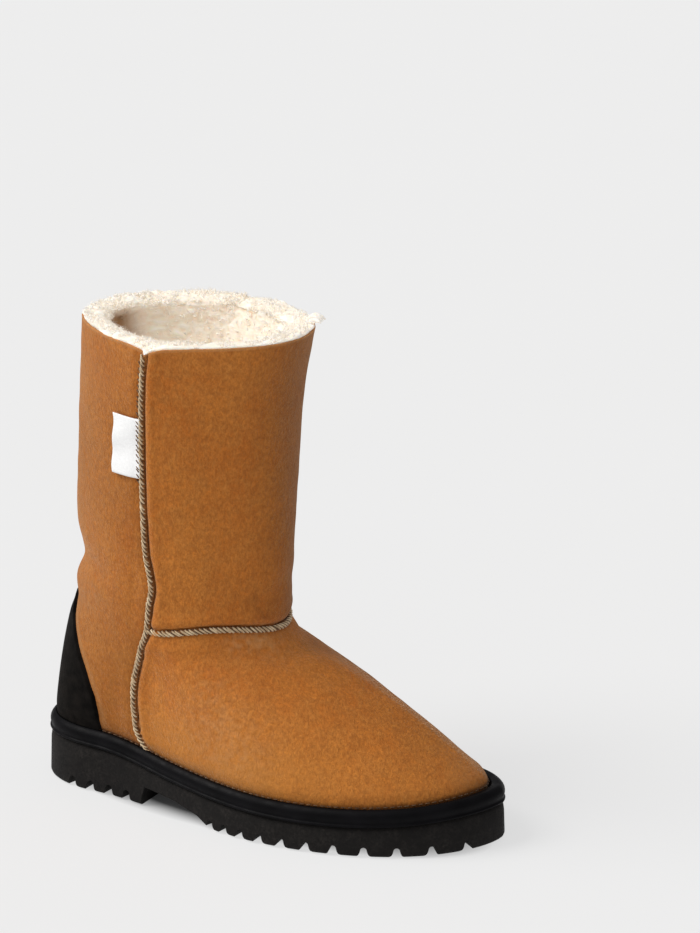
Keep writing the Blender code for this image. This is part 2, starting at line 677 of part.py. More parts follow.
def side_seam(outer):
    """A half-round roll from the midsole's groove to the collar's edge."""
    sections = []
    levels = [float(v) for v in LEVELS[1:]]
    levels += [(a + b) / 2 for a, b in zip(levels, levels[1:]) if a < VAMP_LEVEL + 4]
    for level in [0.72, 0.86] + sorted(levels):
        corner = side_seam_corner(level, outer)
        sections.append(np.array([
            skin(level, shifted(level, corner, SEAM_WIDTH / 2 * a), CLEAR + SEAM_RISE * h)
            for a, h in ROUND]))
    return bar(sections)


seam_lateral = mesh_object("side_seam_lateral", *side_seam(True), thread)
seam_medial = mesh_object("side_seam_medial", *side_seam(False), thread)


def vamp_level(corner, start, stop):
    """The vamp seam's level: it bows up between each side seam and the front."""
    share = (corner - start) / (SIDE - start) if corner < SIDE else (stop - corner) / (stop - SIDE)
    bow = math.sin(math.pi * min(max(share, 0.0), 1.0)) ** 2
    step = np.linalg.norm(skin(VAMP_LEVEL + 0.5, corner) - skin(VAMP_LEVEL, corner)) / 0.5
    return VAMP_LEVEL + bow * VAMP_ARCH / step


def vamp_seam():
    """The roll across the instep, from one side seam to the other."""
    start = side_seam_corner(VAMP_LEVEL, True)
    stop = side_seam_corner(VAMP_LEVEL, False)
    clear = SEAM_WIDTH / 2 + 3 * CLEAR
    inset = [shifted(VAMP_LEVEL, start, clear), shifted(VAMP_LEVEL, stop, -clear)]
    corners_at = [inset[0]] + [float(j) for j in range(math.ceil(inset[0] + 0.2),
                                                      math.floor(inset[1] - 0.2) + 1)] + [inset[1]]
    sections = []
    for corner in corners_at:
        points = []
        middle = vamp_level(corner, start, stop)
        for a, h in ROUND[::-1]:
            way = 0.5 if a > 0 else -0.5
            step = np.linalg.norm(skin(middle + way, corner) - skin(middle, corner)) / 0.5
            points.append(skin(middle + a * VAMP_SEAM_WIDTH / 2 / step, corner,
                               CLEAR + VAMP_SEAM_RISE * h))
        sections.append(np.array(points))
    return bar(sections)


seam_vamp = mesh_object("vamp_seam", *vamp_seam(), thread)


# heel counter
# The counter's front edge seen from the side. Columns: x as a share of the half length, height
# as a share of the way from the midsole's bead to the counter's peak.
COUNTER_ROWS = ((-1.200, -0.20), (-1.200, 1.00), (-0.868, 1.00), (-0.842, 0.93), (-0.812, 0.81),
                (-0.768, 0.64), (-0.722, 0.47), (-0.680, 0.28), (-0.664, 0.05), (-0.660, -0.20))


def heel_counter():
    """The upper's own form around the heel, one counter thick."""
    low = 0.75
    high = level_at(COUNTER_PEAK, 0.0) + 0.8
    levels = [low] + [float(v) for v in LEVELS if low + 0.1 < v < high - 0.1] + [high]
    reach = range(-HEEL_STEPS - 2, HEEL_STEPS + 3)
    outer = np.array([[skin(level, j, CLEAR + COUNTER) for j in reach] for level in levels])
    inner = np.array([[skin(level, j, CLEAR) for j in reach] for level in levels])
    return sheet(outer, inner)


counter = mesh_object("heel_counter", *heel_counter(), counter_suede)
bead_height = float(sole_top(-HALF)) + RIM_HEIGHT
counter_edge = [(x * HALF, bead_height + rise * (COUNTER_PEAK - bead_height)) for x, rise in COUNTER_ROWS]
counter_form = mesh_object("counter_form", *prism(counter_edge, HEEL_WIDTH), collection=cutters)
counter_form.hide_render = True
counter_form.display_type = "WIRE"
trim = counter.modifiers.new("counter_form", "BOOLEAN")
trim.operation = "INTERSECT"
trim.object = counter_form


# side label
def side_label():
    """A blank tape sewn in behind the outer side seam."""
    rows_out, rows_in = [], []
    for k in range(5):
        z = LABEL_TOP - LABEL_HEIGHT * (1 - k / 4)
        level = level_at(z, HEEL_STEPS + SIDE_STEPS / 2)
        edge = shifted(level, side_seam_corner(level, True), -SEAM_WIDTH / 2 - 3 * CLEAR)
        row_out, row_in = [], []
        for m in range(6):
            back = shifted(level, edge, -LABEL_WIDTH * (1 - m / 5))
            row_in.append(skin(level, back, CLEAR))
            row_out.append(skin(level, back, CLEAR + LABEL_THICKNESS))
        rows_out.append(row_out)
        rows_in.append(row_in)
    return sheet(np.array(rows_out), np.array(rows_in))


label = mesh_object("side_label", *side_label(), tape)


# placing
# The origin lies under the middle of the boot, so that it can be set down by it.
pieces = list(boot.objects)
view = bpy.context.evaluated_depsgraph_get()
bpy.context.view_layer.update()
spans = np.vstack([np.array([v.co[:] for v in p.evaluated_get(view).data.vertices]) for p in pieces])
middle = (spans.min(0) + spans.max(0)) / 2
origin = bpy.data.objects.new("boot_origin", None)
boot.objects.link(origin)
origin.location = (-middle[0], -middle[1], 0.0)
print("origin moved by", [round(float(c) * 1000, 3) for c in origin.location])
for piece in pieces + list(cutters.objects):
    piece.parent = origin
for piece in pieces:
    print(piece.name, "made of", len(piece.data.vertices), "corners")
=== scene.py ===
# %% [markdown]
# # A sheepskin boot, right foot
# The frame holds ten plain solids at their real size. This notebook dresses them: a napped
# suede upper with sewn seams, a deep fleece, a rubber rim and a lugged sole. Each cell makes one
# piece or one finish, and some say how else it could be done. Lengths are metres, +X points to
# the toe, +Y to the inner side of the foot and +Z up.

# %% Load the frame
import math
import bmesh
import bpy
import numpy as np
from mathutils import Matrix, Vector, noise


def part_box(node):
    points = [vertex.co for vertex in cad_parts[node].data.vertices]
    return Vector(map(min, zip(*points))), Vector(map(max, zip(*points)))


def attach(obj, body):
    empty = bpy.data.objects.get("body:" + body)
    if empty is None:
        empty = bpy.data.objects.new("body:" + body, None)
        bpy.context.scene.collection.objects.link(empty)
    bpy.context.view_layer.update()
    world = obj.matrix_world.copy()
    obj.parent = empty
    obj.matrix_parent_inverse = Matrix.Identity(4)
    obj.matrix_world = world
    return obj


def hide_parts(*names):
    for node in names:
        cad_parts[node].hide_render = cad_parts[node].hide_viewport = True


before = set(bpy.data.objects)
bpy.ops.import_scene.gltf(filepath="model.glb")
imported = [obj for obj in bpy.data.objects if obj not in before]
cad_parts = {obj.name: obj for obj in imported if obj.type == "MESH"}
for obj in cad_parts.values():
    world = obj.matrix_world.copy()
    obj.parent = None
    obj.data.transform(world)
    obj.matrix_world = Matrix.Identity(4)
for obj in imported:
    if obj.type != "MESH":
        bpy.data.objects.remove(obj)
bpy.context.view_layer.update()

# %% [markdown]
# ## The boot's sizes
# A boot is drawn from a few sizes: the sole's length and widths, the height of the seam across
# the instep and the collar's outline. They are the ones the solids were made from, so a surface
# that is drawn again here, finer, lies exactly where the solid is.

# %% Sizes
HALF = 0.143               # half of the sole's length
BALL_LATERAL, BALL_MEDIAL = 0.0620, 0.0515
HEEL_WIDTH, TOE_SWING = 0.0780, 0.0118
HEEL_HEIGHT, TREAD_HEIGHT, TOE_HEIGHT = 0.0287, 0.0170, 0.0236
TOE_SPRING, ARCH_HEIGHT = 0.0016, 0.0105
HEEL_BREAST, TREAD_START = -0.0620, -0.0080
SOLE_FLARE = 0.0008
RIM_HEIGHT, LEDGE, GROOVE = 0.0105, 0.0050, 0.0026
FLOOR, INSOLE, CLEAR = 0.0040, 0.0050, 0.0003
WALL = 0.0020              # the suede's thickness
COLLAR_HEIGHT = 0.2848
SEAM_HEIGHT_FRONT, SEAM_HEIGHT_BACK = 0.1115, 0.1130
ANKLE_BACK, ANKLE_FRONT, ANKLE_LATERAL, ANKLE_MEDIAL = -0.1252, 0.0078, 0.0500, 0.0480
COLLAR_BACK, COLLAR_FRONT, COLLAR_LATERAL, COLLAR_MEDIAL = -0.1172, 0.0202, 0.0640, 0.0590
PILE_SHAFT, PILE_FOOT = 0.0125, 0.0080
SEAM_WIDTH, SEAM_RISE = 0.0046, 0.0018
VAMP_SEAM_WIDTH, VAMP_SEAM_RISE = 0.0056, 0.0021
COUNTER, COUNTER_PEAK = 0.0015, 0.1150
LABEL_WIDTH, LABEL_HEIGHT, LABEL_TOP = 0.0190, 0.0360, 0.2420
HEEL_STEPS, SIDE_STEPS, TOE_STEPS = 6, 8, 9
FINE = 8                   # columns here to one corner of the solids
SIDE = (HEEL_STEPS + SIDE_STEPS + TOE_STEPS) * FINE
AROUND = 2 * SIDE
print("columns around the boot:", AROUND)

# %% [markdown]
# ## Outlines
# Seen from above, every ring of the boot is the same kind of curve: a squashed circle for the
# heel, a soft S along each side, and a second squashed circle for the toe. One function draws
# the sole and all rings of the upper. A traced curve would also do, but it couldn't be blended
# from ring to ring.

# %% Outlines in plan
def smooth(knots, values, at):
    """Cubic through the values given at the knots."""
    k, v = np.asarray(knots, float), np.asarray(values, float)
    at = np.clip(np.asarray(at, float), k[0], k[-1])
    slope = np.gradient(v, k, axis=0)
    i = np.clip(np.searchsorted(k, at, side="right") - 1, 0, len(k) - 2)
    span = k[i + 1] - k[i]
    t = (at - k[i]) / span
    if v.ndim > 1:
        span, t = np.asarray(span)[..., None], np.asarray(t)[..., None]
    return ((2 * t ** 3 - 3 * t ** 2 + 1) * v[i] + (t ** 3 - 2 * t ** 2 + t) * span * slope[i]
            + (3 * t ** 2 - 2 * t ** 3) * v[i + 1] + (t ** 3 - t ** 2) * span * slope[i + 1])


def half_outline(r, outer):
    """One side of a ring from the middle of the heel to the tip of the toe."""
    ball_at, ball = (r["lateral_at"], r["lateral"]) if outer else (r["medial_at"], r["medial"])
    side, end = 2 / r["side_power"], 2 / r["end_power"]
    toe = 2 / r["toe_power" if outer else "inner_toe_power"]
    a = np.linspace(0, math.pi / 2, HEEL_STEPS * FINE + 1)
    u = np.linspace(0, 1, SIDE_STEPS * FINE + 1)[1:-1]
    b = np.linspace(0, math.pi / 2, TOE_STEPS * FINE + 1)
    x = np.concatenate([r["heel_at"] - (r["heel_at"] - r["back"]) * np.cos(a).clip(0) ** side,
                        r["heel_at"] + (ball_at - r["heel_at"]) * u,
                        ball_at + (r["front"] - ball_at) * np.sin(b) ** side])
    y = np.concatenate([r["heel_half"] * np.sin(a) ** end,
                        r["heel_half"] + (ball - r["heel_half"]) * u * u * (3 - 2 * u),
                        ball * np.cos(b).clip(0) ** toe])
    run = np.concatenate([[0], np.cumsum(np.hypot(np.diff(x), np.diff(y)))])
    at = (1 - r["even"]) * run + r["even"] * np.linspace(0, run[-1], SIDE + 1)
    return np.column_stack([np.interp(at, run, x), np.interp(at, run, y)])


def outline(r):
    """Closed ring in plan, from the heel along the outer side to the toe and back."""
    outer, inner = half_outline(r, True) * (1, -1), half_outline(r, False)
    plan = np.vstack([outer, inner[-2:0:-1]])
    share = np.clip((plan[:, 0] - r["back"]) / (r["front"] - r["back"]), 0, 1)
    plan[:, 1] += r["tip"] * share ** 2.5
    return plan


def outward(plan):
    """Unit directions square to a plan outline, pointing out."""
    along = np.roll(plan, -1, 0) - np.roll(plan, 1, 0)
    out = np.stack([along[:, 1], -along[:, 0]], 1)
    return out / np.linalg.norm(out, axis=1)[:, None]


def sole_top(x):
    """Height of the outsole's top along the foot."""
    stations = np.array([-1.0, -0.62, -0.30, 0.02, 0.42, 0.75, 1.0]) * HALF
    drop, lift = HEEL_HEIGHT - TREAD_HEIGHT, TOE_HEIGHT - TREAD_HEIGHT
    shares = [(1.0, 0), (0.90, 0), (0.38, 0), (0.10, 0), (0, 0), (0, 0.32), (0, 1.0)]
    return smooth(stations, [TREAD_HEIGHT + a * drop + b * lift for a, b in shares], x)


def sole_bottom(x):
    """Height of the outsole's underside: flat, then the toe spring."""
    start = 0.62 * HALF
    t = np.clip((np.asarray(x, float) - start) / (HALF - start), 0, 1)
    return TOE_SPRING * t ** 2


SOLE = dict(back=-HALF, front=HALF, back_z=0, front_z=0, heel_at=-0.69 * HALF,
            lateral_at=0.20 * HALF, medial_at=0.335 * HALF, heel_half=HEEL_WIDTH / 2,
            lateral=BALL_LATERAL, medial=BALL_MEDIAL, side_power=2.12, end_power=2.55,
            toe_power=1.78, inner_toe_power=1.55, tip=TOE_SWING, follow=1.0, even=0.0)
KEYS = tuple(SOLE)
print("sole's width, mm:", round(float(np.ptp(outline(SOLE)[:, 1])) * 1000, 1))

# %% [markdown]
# ## Rings of the upper
# The upper starts inside the rim, as the sole's own outline, and turns ring by ring into the
# narrow ankle and then into the collar, which is pressed flat from side to side so that it
# comes to a soft point at each side seam. The tables give each ring as shares of the way.

# %% Rings from the rim to the collar
RIM_START = dict(SOLE, back=-HALF + LEDGE, front=HALF - LEDGE - 0.0055,
                 heel_half=SOLE["heel_half"] - LEDGE, lateral=BALL_LATERAL - LEDGE,
                 medial=BALL_MEDIAL - LEDGE)
ANKLE = dict(SOLE, back=ANKLE_BACK, front=ANKLE_FRONT, back_z=SEAM_HEIGHT_BACK,
             front_z=SEAM_HEIGHT_FRONT, side_power=1.45, end_power=2.1, toe_power=1.9,
             inner_toe_power=1.9, tip=0.0, follow=0.0, even=1.0,
             heel_at=0.56 * ANKLE_BACK + 0.44 * ANKLE_FRONT,
             lateral_at=0.40 * ANKLE_BACK + 0.60 * ANKLE_FRONT,
             medial_at=0.40 * ANKLE_BACK + 0.60 * ANKLE_FRONT,
             heel_half=0.97 * (ANKLE_LATERAL + ANKLE_MEDIAL) / 2,
             lateral=ANKLE_LATERAL, medial=ANKLE_MEDIAL)
COLLAR = dict(ANKLE, back=COLLAR_BACK, front=COLLAR_FRONT, back_z=COLLAR_HEIGHT,
              front_z=COLLAR_HEIGHT, side_power=1.30, end_power=2.15, toe_power=2.35,
              inner_toe_power=2.35,
              heel_at=0.52 * COLLAR_BACK + 0.48 * COLLAR_FRONT,
              lateral_at=0.46 * COLLAR_BACK + 0.54 * COLLAR_FRONT,
              medial_at=0.46 * COLLAR_BACK + 0.54 * COLLAR_FRONT,
              heel_half=0.995 * (COLLAR_LATERAL + COLLAR_MEDIAL) / 2,
              lateral=COLLAR_LATERAL, medial=COLLAR_MEDIAL)
FOOT_COLUMNS = ("run", "rise", "back_run", "back_rise", "heel", "lateral", "medial", "station", "point")
FOOT_ROWS = (
    (0.008, 0.038, -0.02, 0.060, 0.05, -0.06, -0.05, 0.04, 0.02),
    (0.044, 0.100, 0.02, 0.130, 0.14, -0.06, -0.03, 0.10, 0.08),
    (0.119, 0.200, 0.09, 0.215, 0.27, 0.03, 0.07, 0.19, 0.20),
    (0.297, 0.392, 0.17, 0.335, 0.42, 0.24, 0.28, 0.36, 0.38),
    (0.507, 0.592, 0.28, 0.485, 0.58, 0.52, 0.56, 0.56, 0.48),
    (0.739, 0.762, 0.45, 0.660, 0.75, 0.82, 0.84, 0.76, 0.44),
    (0.915, 0.858, 0.70, 0.850, 0.90, 0.97, 0.98, 0.92, 0.24),
)
SHAFT_COLUMNS = ("rise", "front", "back", "side", "dip")
SHAFT_ROWS = (
    (0.075, 0.06, 0.05, 0.02, -0.0012),
    (0.150, 0.11, 0.16, 0.05, 0.0035),
    (0.215, 0.14, 0.20, 0.10, 0.0030),
    (0.290, 0.17, 0.20, 0.18, 0.000),
    (0.440, 0.24, 0.25, 0.38, 0.000),
    (0.630, 0.32, 0.50, 0.62, 0.000),
    (0.820, 0.52, 0.78, 0.84, 0.000),
    (0.930, 0.80, 0.93, 0.95, 0.000),
)
print("rows in the two tables:", len(FOOT_ROWS), "and", len(SHAFT_ROWS))

# %% [markdown]
# Each row becomes a ring by blending two of the three rings above, every key by its own share.
# A level between two rings is read off smooth curves through all of them.

# %% Blending the rings
def rim_start(height):
    r = dict(RIM_START)
    r["back_z"], r["front_z"] = (float(sole_top(r[end])) + height for end in ("back", "front"))
    return r


def blend(a, b, shares):
    return {key: a[key] + (b[key] - a[key]) * shares.get(key, shares["rest"]) for key in KEYS}


def upper_rings():
    rings = [rim_start(FLOOR + 2 * CLEAR), rim_start(RIM_HEIGHT)]
    for row in FOOT_ROWS:
        s = dict(zip(FOOT_COLUMNS, row))
        rings.append(blend(rings[1], ANKLE, dict(
            front=s["run"], front_z=s["rise"], back=s["back_run"], back_z=s["back_rise"],
            heel_half=s["heel"], lateral=s["lateral"], medial=s["medial"],
            tip=s["run"] ** 0.8, follow=min(1.0, 1.6 * s["back_rise"]), rest=s["station"])))
        rings[-1]["toe_power"] -= s["point"]
        rings[-1]["inner_toe_power"] -= s["point"]
    rings.append(dict(ANKLE))
    for row in SHAFT_ROWS:
        s = dict(zip(SHAFT_COLUMNS, row))
        rings.append(blend(ANKLE, COLLAR, dict(
            front=s["front"], back=s["back"], back_z=s["rise"], front_z=s["rise"], rest=s["side"])))
        rings[-1]["back"] += s["dip"]
    return rings + [dict(COLLAR)]


RINGS = upper_rings()
TABLE = np.array([[r[key] for key in KEYS] for r in RINGS])
VAMP_LEVEL, TOP_LEVEL = float(2 + len(FOOT_ROWS)), float(len(RINGS) - 1)


def ring_points(level):
    """The upper's ring at a level: a ring's number, or a share between two."""
    r = dict(zip(KEYS, smooth(range(len(RINGS)), TABLE, level)))
    plan = outline(r)
    share = np.clip((plan[:, 0] - r["back"]) / (r["front"] - r["back"]), 0, 1)
    straight = r["back_z"] + (r["front_z"] - r["back_z"]) * share
    chord = sole_top(r["back"]) + (sole_top(r["front"]) - sole_top(r["back"])) * share
    return np.column_stack([plan, straight + r["follow"] * (sole_top(plan[:, 0]) - chord)])


print("rings:", len(RINGS))

# %% [markdown]
# ## One fine skin
# The rings are laid about a millimetre apart into one grid of points, `SKIN`. Everything that
# is sewn to the boot finds its place on this grid by row and column. The frame was set down
# with its origin under its middle, so the grid is moved to where the upper's solid stands.

# %% The grid of the skin
ROW_COUNT = 236
trial_levels = np.linspace(0.15, TOP_LEVEL, 500)
trial = np.array([ring_points(v) for v in trial_levels])
travel = np.linalg.norm(np.diff(trial, axis=0), axis=2).mean(axis=1)
run_up = np.concatenate([[0], np.cumsum(travel)])
LEVEL_OF_ROW = np.interp(np.linspace(0, run_up[-1], ROW_COUNT), run_up, trial_levels)
SKIN = np.array([ring_points(v) for v in LEVEL_OF_ROW])
MOVE_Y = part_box("upper")[0].y - float(SKIN[:, ::FINE, 1].min())
SKIN[:, :, 1] += MOVE_Y


def unit(v):
    return v / np.maximum(np.linalg.norm(v, axis=-1, keepdims=True), 1e-9)


def normals_of(grid):
    along = np.roll(grid, -1, 1) - np.roll(grid, 1, 1)
    return unit(np.cross(along, np.gradient(grid, axis=0)))


NORMALS = normals_of(SKIN)
print("rows up the boot:", ROW_COUNT, "moved in y by, mm:", round(MOVE_Y * 1000, 3))

# %% [markdown]
# Rows and columns needn't be whole numbers. `read` blends the four nearest points, so a stitch
# can start anywhere on the leather, and `on_skin` also steps out from it by a given height.

# %% Reading the skin
def row_of(level):
    return np.interp(level, LEVEL_OF_ROW, np.arange(ROW_COUNT))


def read(grid, row, column):
    """Values of a grid between its rows and columns."""
    row = np.clip(np.asarray(row, float), 0, len(grid) - 1.0001)
    column = np.asarray(column, float)
    i, j = np.floor(row).astype(int), np.floor(column).astype(int)
    a, b = (row - i)[..., None], (column - j)[..., None]
    j, k = j % AROUND, (j + 1) % AROUND
    return ((grid[i, j] * (1 - b) + grid[i, k] * b) * (1 - a)
            + (grid[i + 1, j] * (1 - b) + grid[i + 1, k] * b) * a)


def on_skin(row, column, out=0.0):
    out = np.asarray(out)[..., None] if np.ndim(out) else out
    return read(SKIN, row, column) + unit(read(NORMALS, row, column)) * out


print("row of the ankle's ring:", round(float(row_of(VAMP_LEVEL)), 1))

# %% [markdown]
# Seams are lines on this grid. Both side seams follow one table, which gives levels and shares
# of the boot's length, one seam on each side. The vamp seam runs along the ankle's ring and
# bows up a little.

# %% Where the seams run
SIDE_SEAM_ROWS = ((0.6, 0.288), (1.5, 0.274), (3.5, 0.263), (5.0, 0.290), (6.0, 0.330), (7.5, 0.438),
                  (VAMP_LEVEL, 0.532), (VAMP_LEVEL + 1.5, 0.543), (VAMP_LEVEL + 3.5, 0.528),
                  (VAMP_LEVEL + 6, 0.523), (TOP_LEVEL, 0.521))


def seam_columns(outer):
    """The column of a side seam in every row."""
    levels, shares = zip(*SIDE_SEAM_ROWS)
    share = smooth(levels, shares, LEVEL_OF_ROW)
    x = SKIN[:, 0, 0] + share * (SKIN[:, SIDE, 0] - SKIN[:, 0, 0])
    if outer:
        return np.array([np.interp(x[i], SKIN[i, :SIDE + 1, 0], np.arange(SIDE + 1))
                         for i in range(ROW_COUNT)])
    back = np.concatenate([SKIN[:, SIDE:, 0], SKIN[:, :1, 0]], axis=1)[:, ::-1]
    return np.array([AROUND - np.interp(x[i], back[i], np.arange(SIDE + 1))
                     for i in range(ROW_COUNT)])


SEAM_OUT, SEAM_IN = seam_columns(True), seam_columns(False)
VAMP_ROW = float(row_of(VAMP_LEVEL))
VAMP_ARCH = 0.0040         # how far the vamp seam bows up between a side seam and the front


def vamp_rows(columns):
    """The vamp seam's row at a column: it bows up on both sides of the instep."""
    start, stop = (float(np.interp(VAMP_ROW, np.arange(ROW_COUNT), c)) for c in (SEAM_OUT, SEAM_IN))
    columns = np.asarray(columns, float)
    share = np.where(columns < SIDE, (columns - start) / (SIDE - start), (stop - columns) / (stop - SIDE))
    bow = np.sin(math.pi * np.clip(share, 0, 1)) ** 2
    return VAMP_ROW + bow * VAMP_ARCH / (run_up[-1] / (ROW_COUNT - 1))


print("vamp seam on row", round(VAMP_ROW, 1))

# %% [markdown]
# ## Distances on the leather
# Puckers, dark lines and worn places all lie at some distance from a seam or an edge. These
# grids hold the distances along the surface once, so that later cells only have to ask. The
# distance from a side seam is positive towards the toe, and the one from the vamp seam is
# positive upwards.

# %% Distances along the surface
step_around = np.linalg.norm(np.roll(SKIN, -1, 1) - SKIN, axis=2)
GIRTH = step_around.sum(axis=1)
RUN_AROUND = np.concatenate([np.zeros((ROW_COUNT, 1)), np.cumsum(step_around, axis=1)], axis=1)


def past(columns):
    """Run along each ring from a column on; behind the start it is negative."""
    at = np.array([np.interp(columns[i], np.arange(AROUND + 1), RUN_AROUND[i])
                   for i in range(ROW_COUNT)])
    return RUN_AROUND[:, :-1] - at[:, None]


def nearer_way(d):
    """The same run measured the shorter way round the ring."""
    return (d + GIRTH[:, None] / 2) % GIRTH[:, None] - GIRTH[:, None] / 2


FROM_OUT, FROM_IN = nearer_way(past(SEAM_OUT)), nearer_way(-past(SEAM_IN))
FROM_HEEL = nearer_way(past(np.zeros(ROW_COUNT)))
RUN_HIGH = np.concatenate([np.zeros((1, AROUND)), np.cumsum(
    np.linalg.norm(np.diff(SKIN, axis=0), axis=2), axis=0)])
every_column = np.arange(AROUND)
seam_row = vamp_rows(every_column)
low_row = seam_row.astype(int)
FROM_VAMP = RUN_HIGH - (RUN_HIGH[low_row, every_column] * (1 - seam_row + low_row)
                        + RUN_HIGH[low_row + 1, every_column] * (seam_row - low_row))
ABOVE_RIM = SKIN[:, :, 2] - sole_top(SKIN[:, :, 0]) - RIM_HEIGHT


def ridge(d, centre, width):
    """A soft ridge, 1 at the centre."""
    return np.exp(-((d - centre) / width) ** 2)


def rise(d, low, high):
    """0 below low, 1 above high."""
    t = np.clip((d - low) / (high - low), 0, 1)
    return t * t * (3 - 2 * t)


IN_FRONT = rise(past(SEAM_OUT), 0.0, 0.003) * rise(-past(SEAM_IN), 0.0, 0.003)
print("girth at the collar, mm:", round(float(GIRTH[-1]) * 1000))


# %% [markdown]
# ## Meshes from grids and from many threads
# Two helpers make nearly every piece. `surface` turns a grid of points into quads. `tube_parts`
# sweeps thousands of short threads at once into one mesh, which is how stitches and locks of
# wool stay cheap. Geometry Nodes could scatter them as well, but plain arrays show each rule.

# %% Mesh helpers
def mesh_object(name, points, faces):
    """A bare mesh in the scene."""
    mesh = bpy.data.meshes.new(name)
    mesh.from_pydata(np.asarray(points, float).tolist(), [], faces)
    obj = bpy.data.objects.new(name, mesh)
    bpy.context.scene.collection.objects.link(obj)
    return obj


def new_piece(name, points, faces, look, slot, body="root"):
    """A smooth mesh with its finish, which rides on a body of the frame."""
    piece = mesh_object(name, points, faces)
    piece.data.materials.append(look)
    piece.data.shade_smooth()
    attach(piece, body)
    print(name, "has", sum(len(f) - 2 for f in faces), "triangles")
    return piece


def grid_faces(rows, columns, closed, flip=False):
    index = np.arange(rows * columns).reshape(rows, columns)
    if closed:
        index = np.concatenate([index, index[:, :1]], axis=1)
    quads = np.stack([index[:-1, :-1], index[:-1, 1:], index[1:, 1:], index[1:, :-1]], -1)
    quads = quads.reshape(-1, 4)
    return (quads[:, ::-1] if flip else quads).tolist()


def surface(name, grid, look, slot, closed=True, flip=False):
    rows, columns = grid.shape[:2]
    return new_piece(name, grid.reshape(-1, 3), grid_faces(rows, columns, closed, flip), look, slot)


def paint(piece, **values):
    """Stores a number at every point, which the finishes read by name."""
    for name, value in values.items():
        layer = piece.data.attributes.new(name, "FLOAT", "POINT")
        layer.data.foreach_set("value", np.asarray(value, np.float32).ravel())


def tube_parts(paths, radii, up, sides):
    """Points and faces of many closed tubes: paths is tube, point, xyz."""
    count, length = paths.shape[:2]
    tangent = unit(np.gradient(paths, axis=1))
    side = unit(np.cross(tangent, np.broadcast_to(up[:, None], paths.shape)))
    other = np.cross(side, tangent)
    turn = np.linspace(0, 2 * math.pi, sides, endpoint=False)
    ring = (side[:, :, None] * np.cos(turn)[:, None] + other[:, :, None] * np.sin(turn)[:, None])
    points = paths[:, :, None] + ring * radii[:, :, None, None]
    index = np.arange(length * sides).reshape(length, sides)
    index = np.concatenate([index, index[:, :1]], axis=1)
    one = np.stack([index[:-1, :-1], index[:-1, 1:], index[1:, 1:], index[1:, :-1]], -1).reshape(-1, 4)
    shift = np.arange(count)[:, None] * length * sides
    faces = (one[None] + shift[:, :, None]).reshape(-1, 4).tolist()
    faces += (index[0, -2::-1] + shift).tolist() + (index[-1, :-1] + shift).tolist()
    return points.reshape(-1, 3), faces


print("mesh helpers ready")

# %% [markdown]
# Two kinds of noise move the points. `field` is soft and slow, for dents and drift. `cells` makes
# rounded lumps side by side, as curls of wool are.

# %% Noise at points
def field(points, size, seed, stretch=(1, 1, 1)):
    """Soft noise from -1 to 1 at points, with lumps of about that size."""
    flat = points.reshape(-1, 3) / (size * np.array(stretch)) + seed * 17.3
    values = np.array([noise.noise(p) for p in flat.tolist()])
    return values.reshape(points.shape[:-1]) * 1.6


def cells(points, size, seed, stretch=(1, 1, 1)):
    """Rounded lumps side by side: 1 on top of each, 0 in the cracks between them."""
    flat = points.reshape(-1, 3) / (size * np.array(stretch)) + seed * 11.9
    found = (noise.voronoi(Vector(p))[0] for p in flat.tolist())
    values = np.array([d[1] - d[0] for d in found])
    return np.clip(values * 1.5, 0, 1).reshape(points.shape[:-1])


print("noise helpers ready")

# %% [markdown]
# ## Finishes
# Every finish is one Principled shader with noise in the boot's own metres, so the grain has
# its real size and sits still on the leather. Image textures would also work, but they need
# unwrapped surfaces and show their pixels up close.

